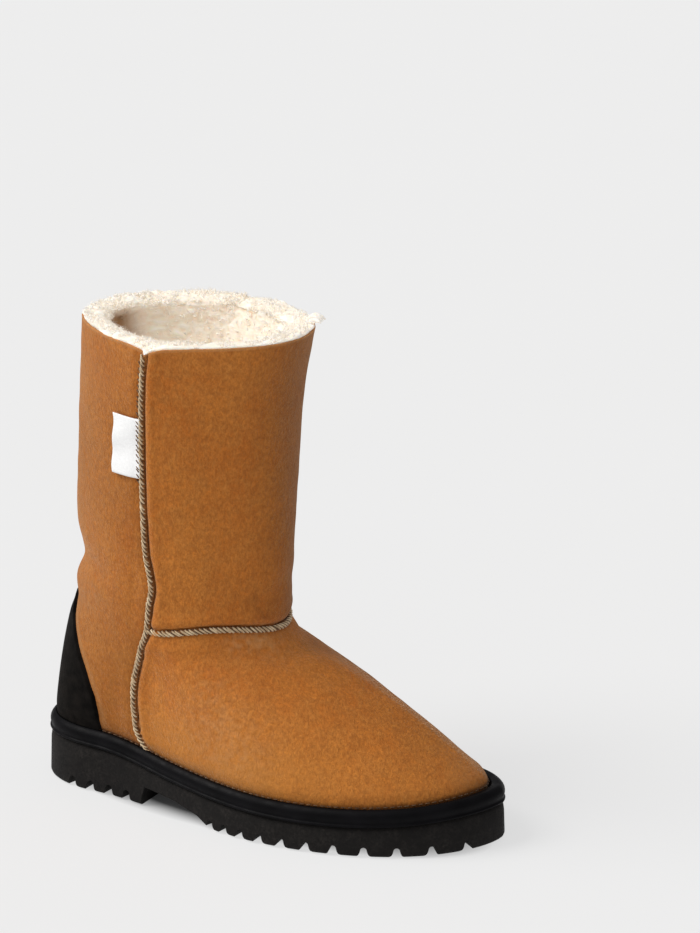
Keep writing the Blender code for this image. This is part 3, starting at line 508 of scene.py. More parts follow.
# %% Finish helpers
class Finish:
    """A material and short ways to wire it."""

    def __init__(self, name, **sockets):
        self.material = bpy.data.materials.new(name)
        self.material.use_nodes = True
        self.tree = self.material.node_tree
        self.shader = self.tree.nodes["Principled BSDF"]
        self.place = self.tree.nodes.new("ShaderNodeTexCoord").outputs["Object"]
        for socket, value in sockets.items():
            self.shader.inputs[socket.replace("_", " ")].default_value = value

    def link(self, start, end):
        self.tree.links.new(start, end)

    def grain(self, size, detail=3.0, rough=0.55, stretch=(1, 1, 1), warp=0.0):
        """Noise with lumps of about that size in metres."""
        scaled = self.tree.nodes.new("ShaderNodeMapping")
        scaled.inputs["Scale"].default_value = [1 / (size * s) for s in stretch]
        self.link(self.place, scaled.inputs["Vector"])
        node = self.tree.nodes.new("ShaderNodeTexNoise")
        node.inputs["Scale"].default_value = 1.0
        node.inputs["Detail"].default_value = detail
        node.inputs["Roughness"].default_value = rough
        node.inputs["Distortion"].default_value = warp
        self.link(scaled.outputs["Vector"], node.inputs["Vector"])
        return node.outputs["Fac"]

    def stored(self, name):
        node = self.tree.nodes.new("ShaderNodeAttribute")
        node.attribute_name = name
        return node.outputs["Fac"]

    def scale(self, value, low, high, out_low=0.0, out_high=1.0):
        node = self.tree.nodes.new("ShaderNodeMapRange")
        self.link(value, node.inputs["Value"])
        for socket, number in zip(("From Min", "From Max", "To Min", "To Max"),
                                  (low, high, out_low, out_high)):
            node.inputs[socket].default_value = number
        return node.outputs["Result"]

    def sum(self, a, b, operation="ADD"):
        node = self.tree.nodes.new("ShaderNodeMath")
        node.operation = operation
        for socket, value in zip(node.inputs, (a, b)):
            if isinstance(value, float):
                socket.default_value = value
            else:
                self.link(value, socket)
        return node.outputs["Value"]

    def mix(self, factor, a, b, mode="MIX"):
        node = self.tree.nodes.new("ShaderNodeMix")
        node.data_type = "RGBA"
        node.blend_type = mode
        for socket, value in ((node.inputs["Factor"], factor), (node.inputs[6], a), (node.inputs[7], b)):
            if isinstance(value, float):
                socket.default_value = value
            elif isinstance(value, tuple):
                socket.default_value = (*value, 1.0)
            else:
                self.link(value, socket)
        return node.outputs[2]

    def colour(self, value):
        self.link(value, self.shader.inputs["Base Color"])

    def two_tone(self, size, detail, low, high, dark, light):
        """A base colour that wanders between two colours in lumps of about that size."""
        self.colour(self.mix(self.scale(self.grain(size, detail), low, high), dark, light))

    def roughness(self, value):
        self.link(value, self.shader.inputs["Roughness"])

    def bump(self, height, distance, strength=1.0, under=None):
        node = self.tree.nodes.new("ShaderNodeBump")
        node.inputs["Distance"].default_value = distance
        node.inputs["Strength"].default_value = strength
        self.link(height, node.inputs["Height"])
        if under is not None:
            self.link(under, node.inputs["Normal"])
        self.link(node.outputs["Normal"], self.shader.inputs["Normal"])
        return node.outputs["Normal"]


print("finish helpers ready")

# %% [markdown]
# ## Suede
# Suede is the flesh side of the skin, buffed to a nap. It has no gloss: light catches the
# standing fibres at grazing angles, which the sheen gives, and the nap lies in patches that
# look lighter or darker. Painted shade darkens the gaps beside the seams and the parts that lie
# in shadow, the cut edges show paler skin, and the lower foot is rubbed to a yellower tan.

# %% Tan suede
suede = Finish("tan_suede", Roughness=0.93, Sheen_Weight=0.42, Sheen_Roughness=0.28,
               Sheen_Tint=(1.0, 0.82, 0.60, 1.0), Specular_IOR_Level=0.18)
clouds = suede.scale(suede.grain(0.045, 3.0, 0.6, stretch=(1, 1, 1.8)), 0.38, 0.62)
tan = suede.mix(clouds, (0.575, 0.160, 0.019), (0.690, 0.232, 0.034))
SUEDE_LAYERS = (  # name, size, detail, stretch, warp, noise from and to, amount, colour
    ("patches", 0.0085, 4.0, (1.0, 1.0, 1.3), 0.9, 0.38, 0.64, 0.75, (0.600, 0.228, 0.044)),
    ("flecks", 0.0030, 3.0, (1.0, 1.0, 1.0), 0.7, 0.42, 0.66, 0.50, (0.300, 0.085, 0.012)),
    ("nap", 0.0020, 3.0, (0.8, 0.8, 1.3), 0.0, 0.34, 0.66, 0.60, (0.255, 0.066, 0.009)),
    ("hairs", 0.0007, 2.0, (0.8, 0.8, 2.6), 0.0, 0.30, 0.72, 0.38, (0.600, 0.250, 0.065)),
)
layers = {}
for name, size, detail, stretch, warp, low, high, amount, colour in SUEDE_LAYERS:
    layers[name] = suede.scale(suede.grain(size, detail, 0.70, stretch, warp), low, high)
    tan = suede.mix(suede.sum(layers[name], amount, "MULTIPLY"), tan, colour)
# Last come a yellower foot, paler suede and the darkening, which is mostly painted shade.
for name, colour in (("gold", (0.560, 0.235, 0.045)), ("pale", (0.700, 0.400, 0.180)),
                     ("shade", (0.070, 0.022, 0.006))):
    tan = suede.mix(suede.stored(name), tan, colour)
suede.colour(tan)
fine_nap = suede.bump(suede.sum(layers["nap"], layers["hairs"]), 0.00030, 0.75)
suede.bump(layers["patches"], 0.0006, 0.35, under=fine_nap)
print("finish:", suede.material.name)

# %% [markdown]
# ## The upper's surface
# The real upper is three cut pieces: a back piece, a front shaft and a vamp. Where two meet
# they are pressed together and sewn, so each swells a little beside the seam and a narrow gap
# is left at its front or upper side. A boot that has stood and been worn also has soft dents.
# They are troughs and ridges pushed into the grid.

# %% Swelling beside the seams
ROPE_HALF = 0.0019         # half the width of the visible rope of thread
SIDE_SWELL = (  # distance from the seam, half width, height
    (ROPE_HALF + 0.0003, 0.0008, -0.0014), (ROPE_HALF + 0.0042, 0.0032, 0.0011),
    (-ROPE_HALF - 0.0006, 0.0008, -0.0004), (-SEAM_WIDTH / 2 - 0.0055, 0.0042, 0.0005))
VAMP_SWELL = (
    (ROPE_HALF + 0.0003, 0.0008, -0.0014), (ROPE_HALF + 0.0045, 0.0034, 0.0012),
    (-ROPE_HALF - 0.0004, 0.0008, -0.0005), (-VAMP_SEAM_WIDTH / 2 - 0.0065, 0.0050, 0.0009))


def swell_beside(away, rows):
    return sum(height * ridge(away, at, half) for at, half, height in rows)


free = rise(ABOVE_RIM, 0.000, 0.006)
push = free * (swell_beside(FROM_OUT, SIDE_SWELL) + swell_beside(FROM_IN, SIDE_SWELL))
push += IN_FRONT * swell_beside(FROM_VAMP, VAMP_SWELL)
push += 0.0007 * ridge(ABOVE_RIM, 0.0060, 0.0045)
print("highest swelling, mm:", round(float(push.max()) * 1000, 2))

# %% [markdown]
# The ankle crease at the back comes from bending: a sharp little trough with a roll above and
# below it. The other dents are listed with their two ends, as height and turn around the boot,
# where 0 is the heel, 0.25 the outer side and 0.5 the front.

# %% Creases and dents
behind = ridge(FROM_HEEL, 0.0, 0.034)
z_skin = SKIN[:, :, 2]
push += behind * (-0.0005 * ridge(z_skin, 0.1400, 0.0050) + 0.0005 * ridge(z_skin, 0.1520, 0.0070))
DENT_COLUMNS = ("z_start", "turn_start", "z_end", "turn_end", "width", "depth")
DENTS = (
    (0.146, 0.06, 0.139, 0.17, 0.0055, 0.0007),
    (0.152, 0.90, 0.141, 0.80, 0.0060, 0.0009),
    (0.128, 0.42, 0.140, 0.50, 0.0060, 0.0007),
    (0.140, 0.40, 0.150, 0.47, 0.0070, 0.0005),
    (0.131, 0.58, 0.143, 0.50, 0.0060, 0.0007),
    (0.100, 0.41, 0.083, 0.47, 0.0070, 0.0006),
    (0.093, 0.34, 0.076, 0.42, 0.0080, 0.0007),
    (0.098, 0.60, 0.080, 0.55, 0.0080, 0.0007),
    (0.215, 0.36, 0.165, 0.39, 0.0160, 0.0008),
    (0.235, 0.14, 0.180, 0.12, 0.0150, 0.0008),
    (0.225, 0.66, 0.170, 0.63, 0.0160, 0.0009),
    (0.240, 0.86, 0.190, 0.88, 0.0150, 0.0008),
)


def skin_spot(z, turn):
    """The point of the skin at a height and a turn around the boot."""
    column = int(round(turn * AROUND)) % AROUND
    return SKIN[int(np.argmin(abs(SKIN[:, column, 2] - z))), column]


for dent in DENTS:
    d = dict(zip(DENT_COLUMNS, dent))
    start, end = skin_spot(d["z_start"], d["turn_start"]), skin_spot(d["z_end"], d["turn_end"])
    line = end - start
    t = np.clip(((SKIN - start) @ line) / (line @ line), 0, 1)
    far = np.linalg.norm(SKIN - start - t[..., None] * line, axis=2)
    fade = 0.35 + 0.65 * np.sin(math.pi * t)
    width = d["width"]
    push += d["depth"] * fade * (-ridge(far, 0.0, width) + 0.35 * ridge(far, 2.1 * width, width))
push += free * (0.00045 * field(SKIN, 0.034, 1) + 0.00016 * field(SKIN, 0.011, 2))
print("deepest dent, mm:", round(float(push.min()) * 1000, 2))

# %% [markdown]
# At the top of each side seam the two cut edges dip, and the fleece swells out through the
# little notch. The grid is pulled down there, and then rolled over the cut edge of the skin.

# %% The upper with its cut edge
NOTCH_DEPTH, NOTCH_HALF = 0.0046, 0.0048
near_top = rise(z_skin, COLLAR_HEIGHT - 0.016, COLLAR_HEIGHT)
notch = NOTCH_DEPTH * (np.exp(-abs(FROM_OUT) / NOTCH_HALF) + np.exp(-abs(FROM_IN) / NOTCH_HALF))
wave = 0.0007 * np.sin(2 * math.pi * 3 * FROM_HEEL / GIRTH[:, None] + 0.8)
SUEDE = SKIN + NORMALS * push[..., None]
SUEDE[:, :, 2] += near_top * (wave - notch)
EDGE = ((0.0001, 0.0002), (-0.0003, 0.0006), (-0.0010, 0.0007), (-0.0017, 0.0004),
        (-0.0020, -0.0003))
level_out = unit(NORMALS[-1] * (1, 1, 0))
edge_rows = [SUEDE[-1] + level_out * out + np.array([0, 0, up]) for out, up in EDGE]
edge_rows += [SKIN[-1 - k] - NORMALS[-1 - k] * WALL for k in (5, 9)]
upper = surface("suede_upper", np.concatenate([SUEDE, edge_rows]), suede.material, "suede")
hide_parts("upper")

# %% [markdown]
# ## Where the suede is darker, paler and yellower
# Three grids of numbers go with the mesh. The darkening grid is mostly painted shade, in the
# gaps beside the seams, in the corner above the rim and on the parts that lie in shadow; it also
# holds a darker back piece and one smudge. `pale` marks cut edges and scuffs, and `gold` the
# rubbed lower foot. The suede is also paler along the counter's curved edge, whose table gives
# how far back on the sole it lies and how high between the bead and the peak.

# %% The counter's outline
BEAD_HEIGHT = float(sole_top(-HALF)) + RIM_HEIGHT
COUNTER_ROWS = ((-0.868, 1.00), (-0.842, 0.93), (-0.812, 0.81), (-0.768, 0.64), (-0.722, 0.47),
                (-0.680, 0.28), (-0.664, 0.05), (-0.660, -0.20))


def counter_edge_x(z):
    """The x of the counter's front edge at a height."""
    heights = [BEAD_HEIGHT + rise_share * (COUNTER_PEAK - BEAD_HEIGHT) for _, rise_share in COUNTER_ROWS]
    return np.interp(z, heights[::-1], [x * HALF for x, _ in COUNTER_ROWS][::-1])


past_counter = SKIN[:, :, 0] - counter_edge_x(z_skin)
below_peak = rise(z_skin, COUNTER_PEAK + 0.004, COUNTER_PEAK - 0.004)
print("counter's edge at the bead, mm:", round(float(counter_edge_x(BEAD_HEIGHT)) * 1000, 1))

# %% [markdown]
# Scuffs are soft round spots. Each has a height, a turn around the boot, a size and an amount,
# and fine noise breaks them up.

# %% Scuffs
SCUFF_COLUMNS = ("z", "turn", "size", "amount")
SCUFFS = ((0.110, 0.440, 0.006, 0.34), (0.108, 0.405, 0.007, 0.24), (0.104, 0.460, 0.012, 0.14),
          (0.060, 0.27, 0.026, 0.12), (0.082, 0.31, 0.014, 0.06), (0.035, 0.50, 0.020, 0.14),
          (0.050, 0.30, 0.022, 0.10),
          (0.240, 0.05, 0.030, 0.12), (0.170, 0.08, 0.030, 0.10), (0.120, 0.13, 0.024, 0.12))
scuffed = np.zeros_like(push)
for scuff in SCUFFS:
    s = dict(zip(SCUFF_COLUMNS, scuff))
    far = np.linalg.norm(SKIN - skin_spot(s["z"], s["turn"]), axis=2)
    scuffed += s["amount"] * ridge(far, 0.0, s["size"])
scuffed *= np.clip(0.7 + 0.8 * field(SKIN, 0.0030, 8), 0, 1.5)
print("scuffs:", len(SCUFFS))

# %% [markdown]
# The darkening adds up line by line: painted shade in the gap beside each seam and a thin
# painted shadow on its other side, a darker back piece, painted shadow on the front's inner half
# and painted shade on the toe's inner side, one smudge, and painted shade in the corner above
# the rim with a wider darker band over it.

# %% Shade
# Painted shade in the gap in front of each seam, and a thin painted shadow behind it.
shade = 0.80 * np.minimum(1.0, ridge(FROM_OUT, ROPE_HALF, 0.0009)
                          + ridge(FROM_IN, ROPE_HALF, 0.0009)) * free
shade += 0.75 * IN_FRONT * ridge(FROM_VAMP, ROPE_HALF, 0.0009)
shade += 0.30 * IN_FRONT * ridge(FROM_VAMP, -ROPE_HALF, 0.0008)
shade += 0.30 * (ridge(FROM_OUT, -ROPE_HALF, 0.0008) + ridge(FROM_IN, -ROPE_HALF, 0.0008))
smudged = ridge(np.linalg.norm(SKIN - skin_spot(0.128, 0.43), axis=2), 0.0, 0.011)
toeward = rise(SKIN[:, :, 0], 0.055, 0.105)
shade += (1 - IN_FRONT) * (0.10 + 0.15 * ridge(z_skin, 0.208, 0.045) + 0.14 * rise(z_skin, 0.150, 0.105))
# Painted shadow over the front's inner half, and painted shade on the toe's inner side.
inner_half = rise(past(SEAM_OUT), 0.050, 0.100) * rise(-past(SEAM_IN), 0.0, 0.060)
shade += 0.50 * IN_FRONT * inner_half * rise(FROM_VAMP, -0.002, 0.008)
shade += 0.13 * toeward * rise(SKIN[:, :, 1], -0.030, 0.010)
shade += 0.18 * smudged * np.clip(0.5 + 1.4 * field(SKIN, 0.005, 9), 0, 1.5)
# Painted shade in the corner where the suede meets the rim, and a wider darker band above it.
shade += 0.55 * rise(ABOVE_RIM, 0.0022, -0.0008) + 0.16 * ridge(ABOVE_RIM, 0.0, 0.010)
print("mean shade:", round(float(np.clip(shade, 0, 1).mean()), 3))

# %% [markdown]
# The last two grids are the paler edges and scuffs, and the yellower foot. The rows of the cut
# edge aren't part of the skin's grid, so they get one value each.

# %% Paler and yellower suede
pale = scuffed + 0.30 * below_peak * ridge(past_counter, 0.0022, 0.0016) + 0.30 * rise(
    RUN_HIGH - RUN_HIGH[-1], -0.0012, 0.0)
gold = 0.38 * rise(FROM_VAMP, 0.0, -0.060) * IN_FRONT * rise(ABOVE_RIM, 0.045, 0.004)
gold *= 1 - 0.75 * rise(SKIN[:, :, 0], 0.020, 0.080)
gold += 0.08 * (1 - IN_FRONT) * rise(z_skin, 0.130, 0.060) + 0.12 * behind
edge_count = len(edge_rows)


def with_edge(values, edge_value):
    return np.concatenate([np.clip(values, 0, 1), np.full((edge_count, AROUND), edge_value)])


paint(upper, shade=with_edge(shade, 0.0), pale=with_edge(pale, 0.25), gold=with_edge(gold, 0.0))
print("painted points:", len(upper.data.vertices))

# %% [markdown]
# ## Paths along the seams
# A seam is a path over rows and columns. `seam_path` walks it in even steps and gives, at each
# step, the point, the way out of the leather, the way along and the way across. The roll and
# its stitches are then drawn in those directions.

# %% Seam paths
def seam_path(rows, columns, spacing, out=0.0):
    way = on_skin(rows, columns, out)
    run = np.concatenate([[0], np.cumsum(np.linalg.norm(np.diff(way, axis=0), axis=1))])
    at = np.linspace(0, run[-1], max(2, int(round(run[-1] / spacing)) + 1))
    rows, columns = np.interp(at, run, rows), np.interp(at, run, columns)
    points = on_skin(rows, columns, out)
    along = unit(np.gradient(points, axis=0))
    normal = unit(read(NORMALS, rows, columns))
    across = unit(np.cross(along, normal))
    return dict(at=at, points=points, along=along, out=np.cross(across, along), across=across)


def along_path(path, at, key):
    return np.stack([np.interp(at, path["at"], path[key][:, c]) for c in range(3)], -1)


def beside_path(path, at, across, lift):
    """Points at a run along the path, with steps across it and out of the leather."""
    return (along_path(path, at, "points") + along_path(path, at, "across") * across[None, :, None]
            + along_path(path, at, "out") * lift[None, :, None])


def side_path(columns):
    rows = np.linspace(float(row_of(0.80)), ROW_COUNT - 4.6, 500)
    return seam_path(rows, np.interp(rows, np.arange(ROW_COUNT), columns), 0.0006)


def vamp_path():
    """From the outer side seam across the instep to the inner one."""
    start, stop = (float(np.interp(VAMP_ROW, np.arange(ROW_COUNT), c)) for c in (SEAM_OUT, SEAM_IN))
    columns = np.linspace(start + 0.6, stop - 0.6, 500)
    return seam_path(vamp_rows(columns), columns, 0.0006)


PATH_OUT, PATH_IN, PATH_VAMP = side_path(SEAM_OUT), side_path(SEAM_IN), vamp_path()
print("seam lengths, mm:", [round(float(p["at"][-1]) * 1000) for p in (PATH_OUT, PATH_IN, PATH_VAMP)])

# %% [markdown]
# ## The sewn rolls
# An overlocked seam is a roll: two cut edges lie together and thread wraps round them, pulling
# them into a bead at every stitch. A plain half-round bar with bump would look flat from the
# side, so the roll swells between stitches and each stitch is real thread laid over it.

# %% Thread finishes
thread = Finish("beige_thread", Roughness=0.72, Sheen_Weight=0.35, Sheen_Roughness=0.5,
                Sheen_Tint=(1.0, 0.92, 0.80, 1.0), Specular_IOR_Level=0.3)
twist = thread.grain(0.0009, 2.0, 0.6, stretch=(1, 1, 0.5))
uneven = thread.scale(thread.grain(0.004, 2.0), 0.35, 0.65)
yarn = thread.mix(uneven, (0.50, 0.345, 0.19), (0.80, 0.64, 0.42))
shadow = thread.sum(thread.scale(twist, 0.35, 0.7), 0.28, "MULTIPLY")
thread.colour(thread.mix(shadow, yarn, (0.20, 0.11, 0.05)))
thread.bump(twist, 0.0002, 0.8)
dark_thread = Finish("brown_thread", Roughness=0.8, Sheen_Weight=0.25, Sheen_Roughness=0.5,
                     Specular_IOR_Level=0.25)
dark_thread.two_tone(0.0012, 2.0, 0.35, 0.65, (0.060, 0.026, 0.009), (0.20, 0.105, 0.042))
dark_thread.bump(dark_thread.grain(0.0009, 2.0), 0.0002, 0.8)
roll_suede = Finish("rolled_edge_suede", Roughness=0.95, Sheen_Weight=0.3, Sheen_Roughness=0.45,
                    Sheen_Tint=(1.0, 0.80, 0.58, 1.0), Specular_IOR_Level=0.15)
roll_suede.two_tone(0.0018, 3.0, 0.35, 0.65, (0.115, 0.040, 0.010), (0.30, 0.125, 0.036))
roll_suede.bump(roll_suede.grain(0.0008, 3.0), 0.00025, 0.7)
print("finishes:", [finish.material.name for finish in (thread, dark_thread, roll_suede)])
# %% [markdown]
# One function makes the roll's grid and one the threads. Stitches and ties differ only in their
# size and in where along the seam they start.

# %% Rolls and stitches
def roll_grid(path, width, height, pitch, steps=10):
    """A half-round roll that swells between the stitches."""
    swell = 0.80 + 0.20 * abs(np.sin(math.pi * path["at"] / pitch))
    grid = []
    for a in np.linspace(0, math.pi, steps):
        b, h = -math.cos(a) * width / 2, math.sin(a) ** 0.8 * height
        h = h * swell - 0.0004
        grid.append(path["points"] + path["across"] * b + path["out"] * h[:, None])
    return np.array(grid).transpose(1, 0, 2)


def stitch_parts(path, pitch, feet, height, slant, radius, phase=0.0, bend=11, sides=8):
    """Threads over a roll, each from one foot across to the other, leaning along it."""
    at = np.arange(pitch * (0.5 + phase), path["at"][-1] - 0.3 * pitch, pitch)
    chance = np.random.default_rng(int(1e5 * pitch) + int(97 * phase))
    wobble = chance.normal(0, 0.12 * pitch, len(at))
    fat = chance.uniform(0.78, 1.12, (len(at), 1))
    u = np.linspace(-1, 1, bend)
    where = np.clip((at + wobble)[:, None] + slant * pitch * u / 2, 0, path["at"][-1])
    across = feet[0] + (feet[1] - feet[0]) * (u + 1) / 2
    lift = height * np.sqrt(np.clip(1 - u ** 2, 0, 1)) ** 0.9 - 0.35 * radius
    points = beside_path(path, where, across, lift)
    thick = radius * (1 - 0.30 * u ** 4) * fat
    return tube_parts(points, thick, along_path(path, at, "along"), sides)


def across_sign(path, columns):
    """Which sign of across points back towards the heel."""
    back = on_skin(ROW_COUNT - 20.0, columns[-20] - (6 if columns is SEAM_OUT else -6))
    near = along_path(path, np.array([path["at"][-1] * 0.93]), "across")[0]
    here = on_skin(ROW_COUNT - 20.0, columns[-20])
    return 1 if near @ (back - here) > 0 else -1


print("seam helpers ready")

# %% [markdown]
# `dress_seam` puts roll, stitches and ties together. It serves the two side seams and, with
# other sizes, the seam over the instep.

# %% The sewn seams
SIDE_PITCH, VAMP_PITCH = 0.0030, 0.0027
STITCH_REACH = 0.0016  # from the middle of a stitch to each of its feet


def dress_seam(names, node, path, pitch, roll_size, middle, slant, wraps, ties):
    """A roll, stitches over it and darker ties between them, each thread a height and a radius."""
    roll = surface(names.format("roll"), roll_grid(path, *roll_size, pitch), roll_suede.material,
                   "thread", closed=False, flip=True)
    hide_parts(node)
    feet = (middle - STITCH_REACH, middle + STITCH_REACH)
    threads = (("stitches", wraps, 0.0, thread), ("ties", ties, 0.5, dark_thread))
    for part, (height, radius), phase, finish in threads:
        parts = stitch_parts(path, pitch, feet, height, slant, radius, phase)
        new_piece(names.format(part), *parts, finish.material, "thread")


for name, path, columns, turn in (("lateral", PATH_OUT, SEAM_OUT, -1), ("medial", PATH_IN, SEAM_IN, 1)):
    dress_seam("side_seam_{}_" + name, f"side_seam_{name}", path, SIDE_PITCH,
               roll_size=(0.72 * SEAM_WIDTH, 0.85 * SEAM_RISE),
               middle=across_sign(path, columns) * 0.0004, slant=1.6 * turn,
               wraps=(SEAM_RISE - 0.0001, 0.00054), ties=(SEAM_RISE - 0.0004, 0.00040))
dress_seam("vamp_seam_{}", "vamp_seam", PATH_VAMP, VAMP_PITCH,
           roll_size=(0.60 * VAMP_SEAM_WIDTH, 0.6 * VAMP_SEAM_RISE), middle=0.0, slant=1.7,
           wraps=(0.6 * VAMP_SEAM_RISE, 0.00056), ties=(0.45 * VAMP_SEAM_RISE, 0.00042))

# %% [markdown]
# ## The heel counter
# A piece of black suede is sewn over the heel to keep it firm. It is cut from the same skin,
# one counter thickness further out, up to the edge line that the solid has too. Its rim is
# rounded down onto the tan suede, so it reads as a laid-on piece and not as paint.

# %% Heel counter
black_suede = Finish("black_suede", Roughness=0.95, Sheen_Weight=0.05, Sheen_Roughness=0.35,
                     Sheen_Tint=(0.75, 0.68, 0.60, 1.0), Specular_IOR_Level=0.06)
black_nap = black_suede.grain(0.0011, 3.0, 0.7)
black_suede.two_tone(0.008, 4.0, 0.35, 0.65, (0.0022, 0.0018, 0.0016), (0.0085, 0.0068, 0.0058))
black_suede.bump(black_nap, 0.0003, 0.8)
COUNTER_ACROSS = 97
COUNTER_ROUND = 0.0016  # how far in from its edge the counter reaches its full height


def counter_rows():
    rows = []
    for i in range(int(row_of(0.75)), ROW_COUNT):
        ring = SKIN[i]
        gap = ring[:, 0] - counter_edge_x(ring[:, 2])
        if gap[0] >= 0 or ring[0, 2] > COUNTER_PEAK:
            break
        outer = int(np.argmax(gap[:SIDE] > 0))
        inner = int(np.argmax(gap[::-1][:SIDE] > 0))
        ends = [outer - gap[outer] / (gap[outer] - gap[outer - 1]),
                inner + 1 - gap[-1 - inner] / (gap[-1 - inner] - gap[-inner])]
        columns = np.linspace(-ends[1], ends[0], COUNTER_ACROSS)
        points = on_skin(np.full(COUNTER_ACROSS, float(i)), columns)
        run = np.concatenate([[0], np.cumsum(np.linalg.norm(np.diff(points, axis=0), axis=1))])
        rim = np.minimum(run, run[-1] - run)
        rim = np.minimum(rim, COUNTER_PEAK - ring[0, 2] + 0.0002)
        inward = np.clip(rim / COUNTER_ROUND, 0, 1)
        lift = (CLEAR + COUNTER) * np.sqrt(np.clip(1 - (1 - inward) ** 2, 0, 1))
        rows.append(on_skin(np.full(COUNTER_ACROSS, float(i)), columns, lift - 0.0003 * (rim < 1e-5)))
    return np.array(rows)


counter_grid = counter_rows()
counter = surface("heel_counter_suede", counter_grid, black_suede.material, "counter_suede", closed=False)
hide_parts("heel_counter")

# %% [markdown]
# ## The label
# A folded white tape is caught in the outer side seam and hangs flat on the back piece. It is
# blank. Its free edge stands off the suede a little and waves, which throws the thin shadow
# that shows it is cloth.

# %% Blank label
tape = Finish("white_label_tape", Roughness=0.78, Sheen_Weight=0.2, Specular_IOR_Level=0.25)
weave = tape.sum(tape.grain(0.00035, 1.0, stretch=(1, 1, 6)), tape.grain(0.00035, 1.0, stretch=(6, 6, 1)))
tape.colour(tape.mix(tape.scale(weave, 0.8, 1.2), (0.90, 0.90, 0.90), (0.98, 0.98, 0.98)))
tape.bump(weave, 0.00008, 0.7)
LABEL_ROWS, LABEL_COLUMNS = 40, 26
LABEL_BOTTOM = LABEL_TOP - LABEL_HEIGHT
LABEL_START, LABEL_THICKNESS = 0.0006, 0.0006


def seam_row_at(z):
    """The row of the skin at a height, measured beside the outer side seam."""
    return float(np.interp(z, SKIN[:, int(SEAM_OUT[-1]), 2], np.arange(ROW_COUNT)))


label_grid = []
for k, row in enumerate(np.linspace(seam_row_at(LABEL_BOTTOM), seam_row_at(LABEL_TOP), LABEL_ROWS)):
    seam_at = float(np.interp(row, np.arange(ROW_COUNT), SEAM_OUT))
    reach = LABEL_WIDTH + SEAM_WIDTH / 2 - LABEL_START
    pace = float(np.linalg.norm(on_skin(row, seam_at - 4) - on_skin(row, seam_at - 14))) / 10
    share = np.linspace(1, 0, LABEL_COLUMNS)
    lean = 0.0008 * math.sin(0.16 * k + 0.4)
    columns = seam_at - (LABEL_START + share * (reach + lean)) / pace
    free_edge = 0.0010 * share ** 3 * (0.6 + 0.4 * math.sin(0.33 * k))
    lift = 0.0014 + free_edge + 0.0004 * np.sin(3 * share + 0.2 * k)
    label_grid.append(on_skin(np.full(LABEL_COLUMNS, row), columns, lift))
label = surface("side_label_tape", np.array(label_grid), tape.material, "label_tape", closed=False)
thick = label.modifiers.new("fold", "SOLIDIFY")
thick.thickness = LABEL_THICKNESS
thick.offset = -0.6
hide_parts("side_label")

# %% [markdown]
# Small ticks of thread reach from the seam into the back piece, as an overlock stitch does on
# its looser side. Shorter ones hold down the edge of the label.

# %% Ticks beside the side seam
TICKS_FROM, TICKS_TO = LABEL_BOTTOM - 0.004, COLLAR_HEIGHT - 0.006


def tick_parts(path, pitch, low, high, feet, radius, height, seed, base=0.0001):
    """Short threads from one foot to the other, lowest at the far one, between two heights."""
    at = np.arange(pitch, path["at"][-1] - pitch, pitch)
    z = along_path(path, at, "points")[:, 2]
    at = at[(z > low) & (z < high)]
    at = at + np.random.default_rng(seed).normal(0, 0.12 * pitch, len(at))
    u = np.linspace(0, 1, 6)
    where = np.clip(at[:, None] + 0.45 * pitch * u, 0, path["at"][-1])
    points = beside_path(path, where, feet[0] + (feet[1] - feet[0]) * u, height * (1 - u) ** 0.6 + base)
    return tube_parts(points, np.full(where.shape, radius), along_path(path, at, "along"), 6)


for name, path, columns in (("lateral", PATH_OUT, SEAM_OUT), ("medial", PATH_IN, SEAM_IN)):
    heelward = across_sign(path, columns)
    ticks = tick_parts(path, 0.0034, TICKS_FROM, TICKS_TO, (heelward * 0.0020, heelward * 0.0050),
                       radius=0.00040, height=0.0010, seed=5)
    new_piece(f"side_seam_ticks_{name}", *ticks, dark_thread.material, "thread")
heelward = across_sign(PATH_OUT, SEAM_OUT)
label_ticks = tick_parts(PATH_OUT, 0.0030, LABEL_BOTTOM, LABEL_TOP, (heelward * 0.0010, heelward * 0.0031),
                         radius=0.00034, height=0.0003, seed=6, base=0.0019)
new_piece("label_ticks", *label_ticks, dark_thread.material, "thread")

# %% [markdown]
# ## The rubber rim
# A moulded rim joins the upper to the sole. Its section has a thin lip at the bottom that
# catches the light, a shallow hollow, a round bead and a groove beside the suede. The section
# is swept round the sole's outline: each row of the table is one line of it.

# %% Rim
rubber = Finish("rim_rubber", Specular_IOR_Level=0.07)
rubber.two_tone(0.02, 3.0, 0.4, 0.65, (0.0020, 0.0018, 0.0024), (0.0040, 0.0036, 0.0046))
rubber.roughness(rubber.scale(rubber.grain(0.006, 4.0), 0.35, 0.7, 0.42, 0.60))
rubber.bump(rubber.grain(0.0007, 2.0), 0.00004, 0.5)
RIM_SECTION = (  # grow past the outline, height above the outsole's top
    (-0.0012, 0.0003), (-0.0001, 0.0003), (0.0006, 0.0006), (0.0008, 0.0011), (0.0006, 0.0016),
    (0.0001, 0.0020), (-0.0001, 0.0024), (0.0000, 0.0030), (0.0003, 0.0038), (0.0005, 0.0048),
    (0.0005, 0.0058), (0.0003, 0.0068), (-0.0001, 0.0077), (-0.0007, 0.0086), (-0.0015, 0.0094),
    (-0.0024, 0.0100), (-0.0033, 0.0103),
)


def sole_ring(grow, height, base=sole_top):
    plan = outline(SOLE)
    plan = plan + outward(plan) * grow
    ring = np.column_stack([plan, base(plan[:, 0]) + height])
    ring[:, 1] += MOVE_Y
    return ring


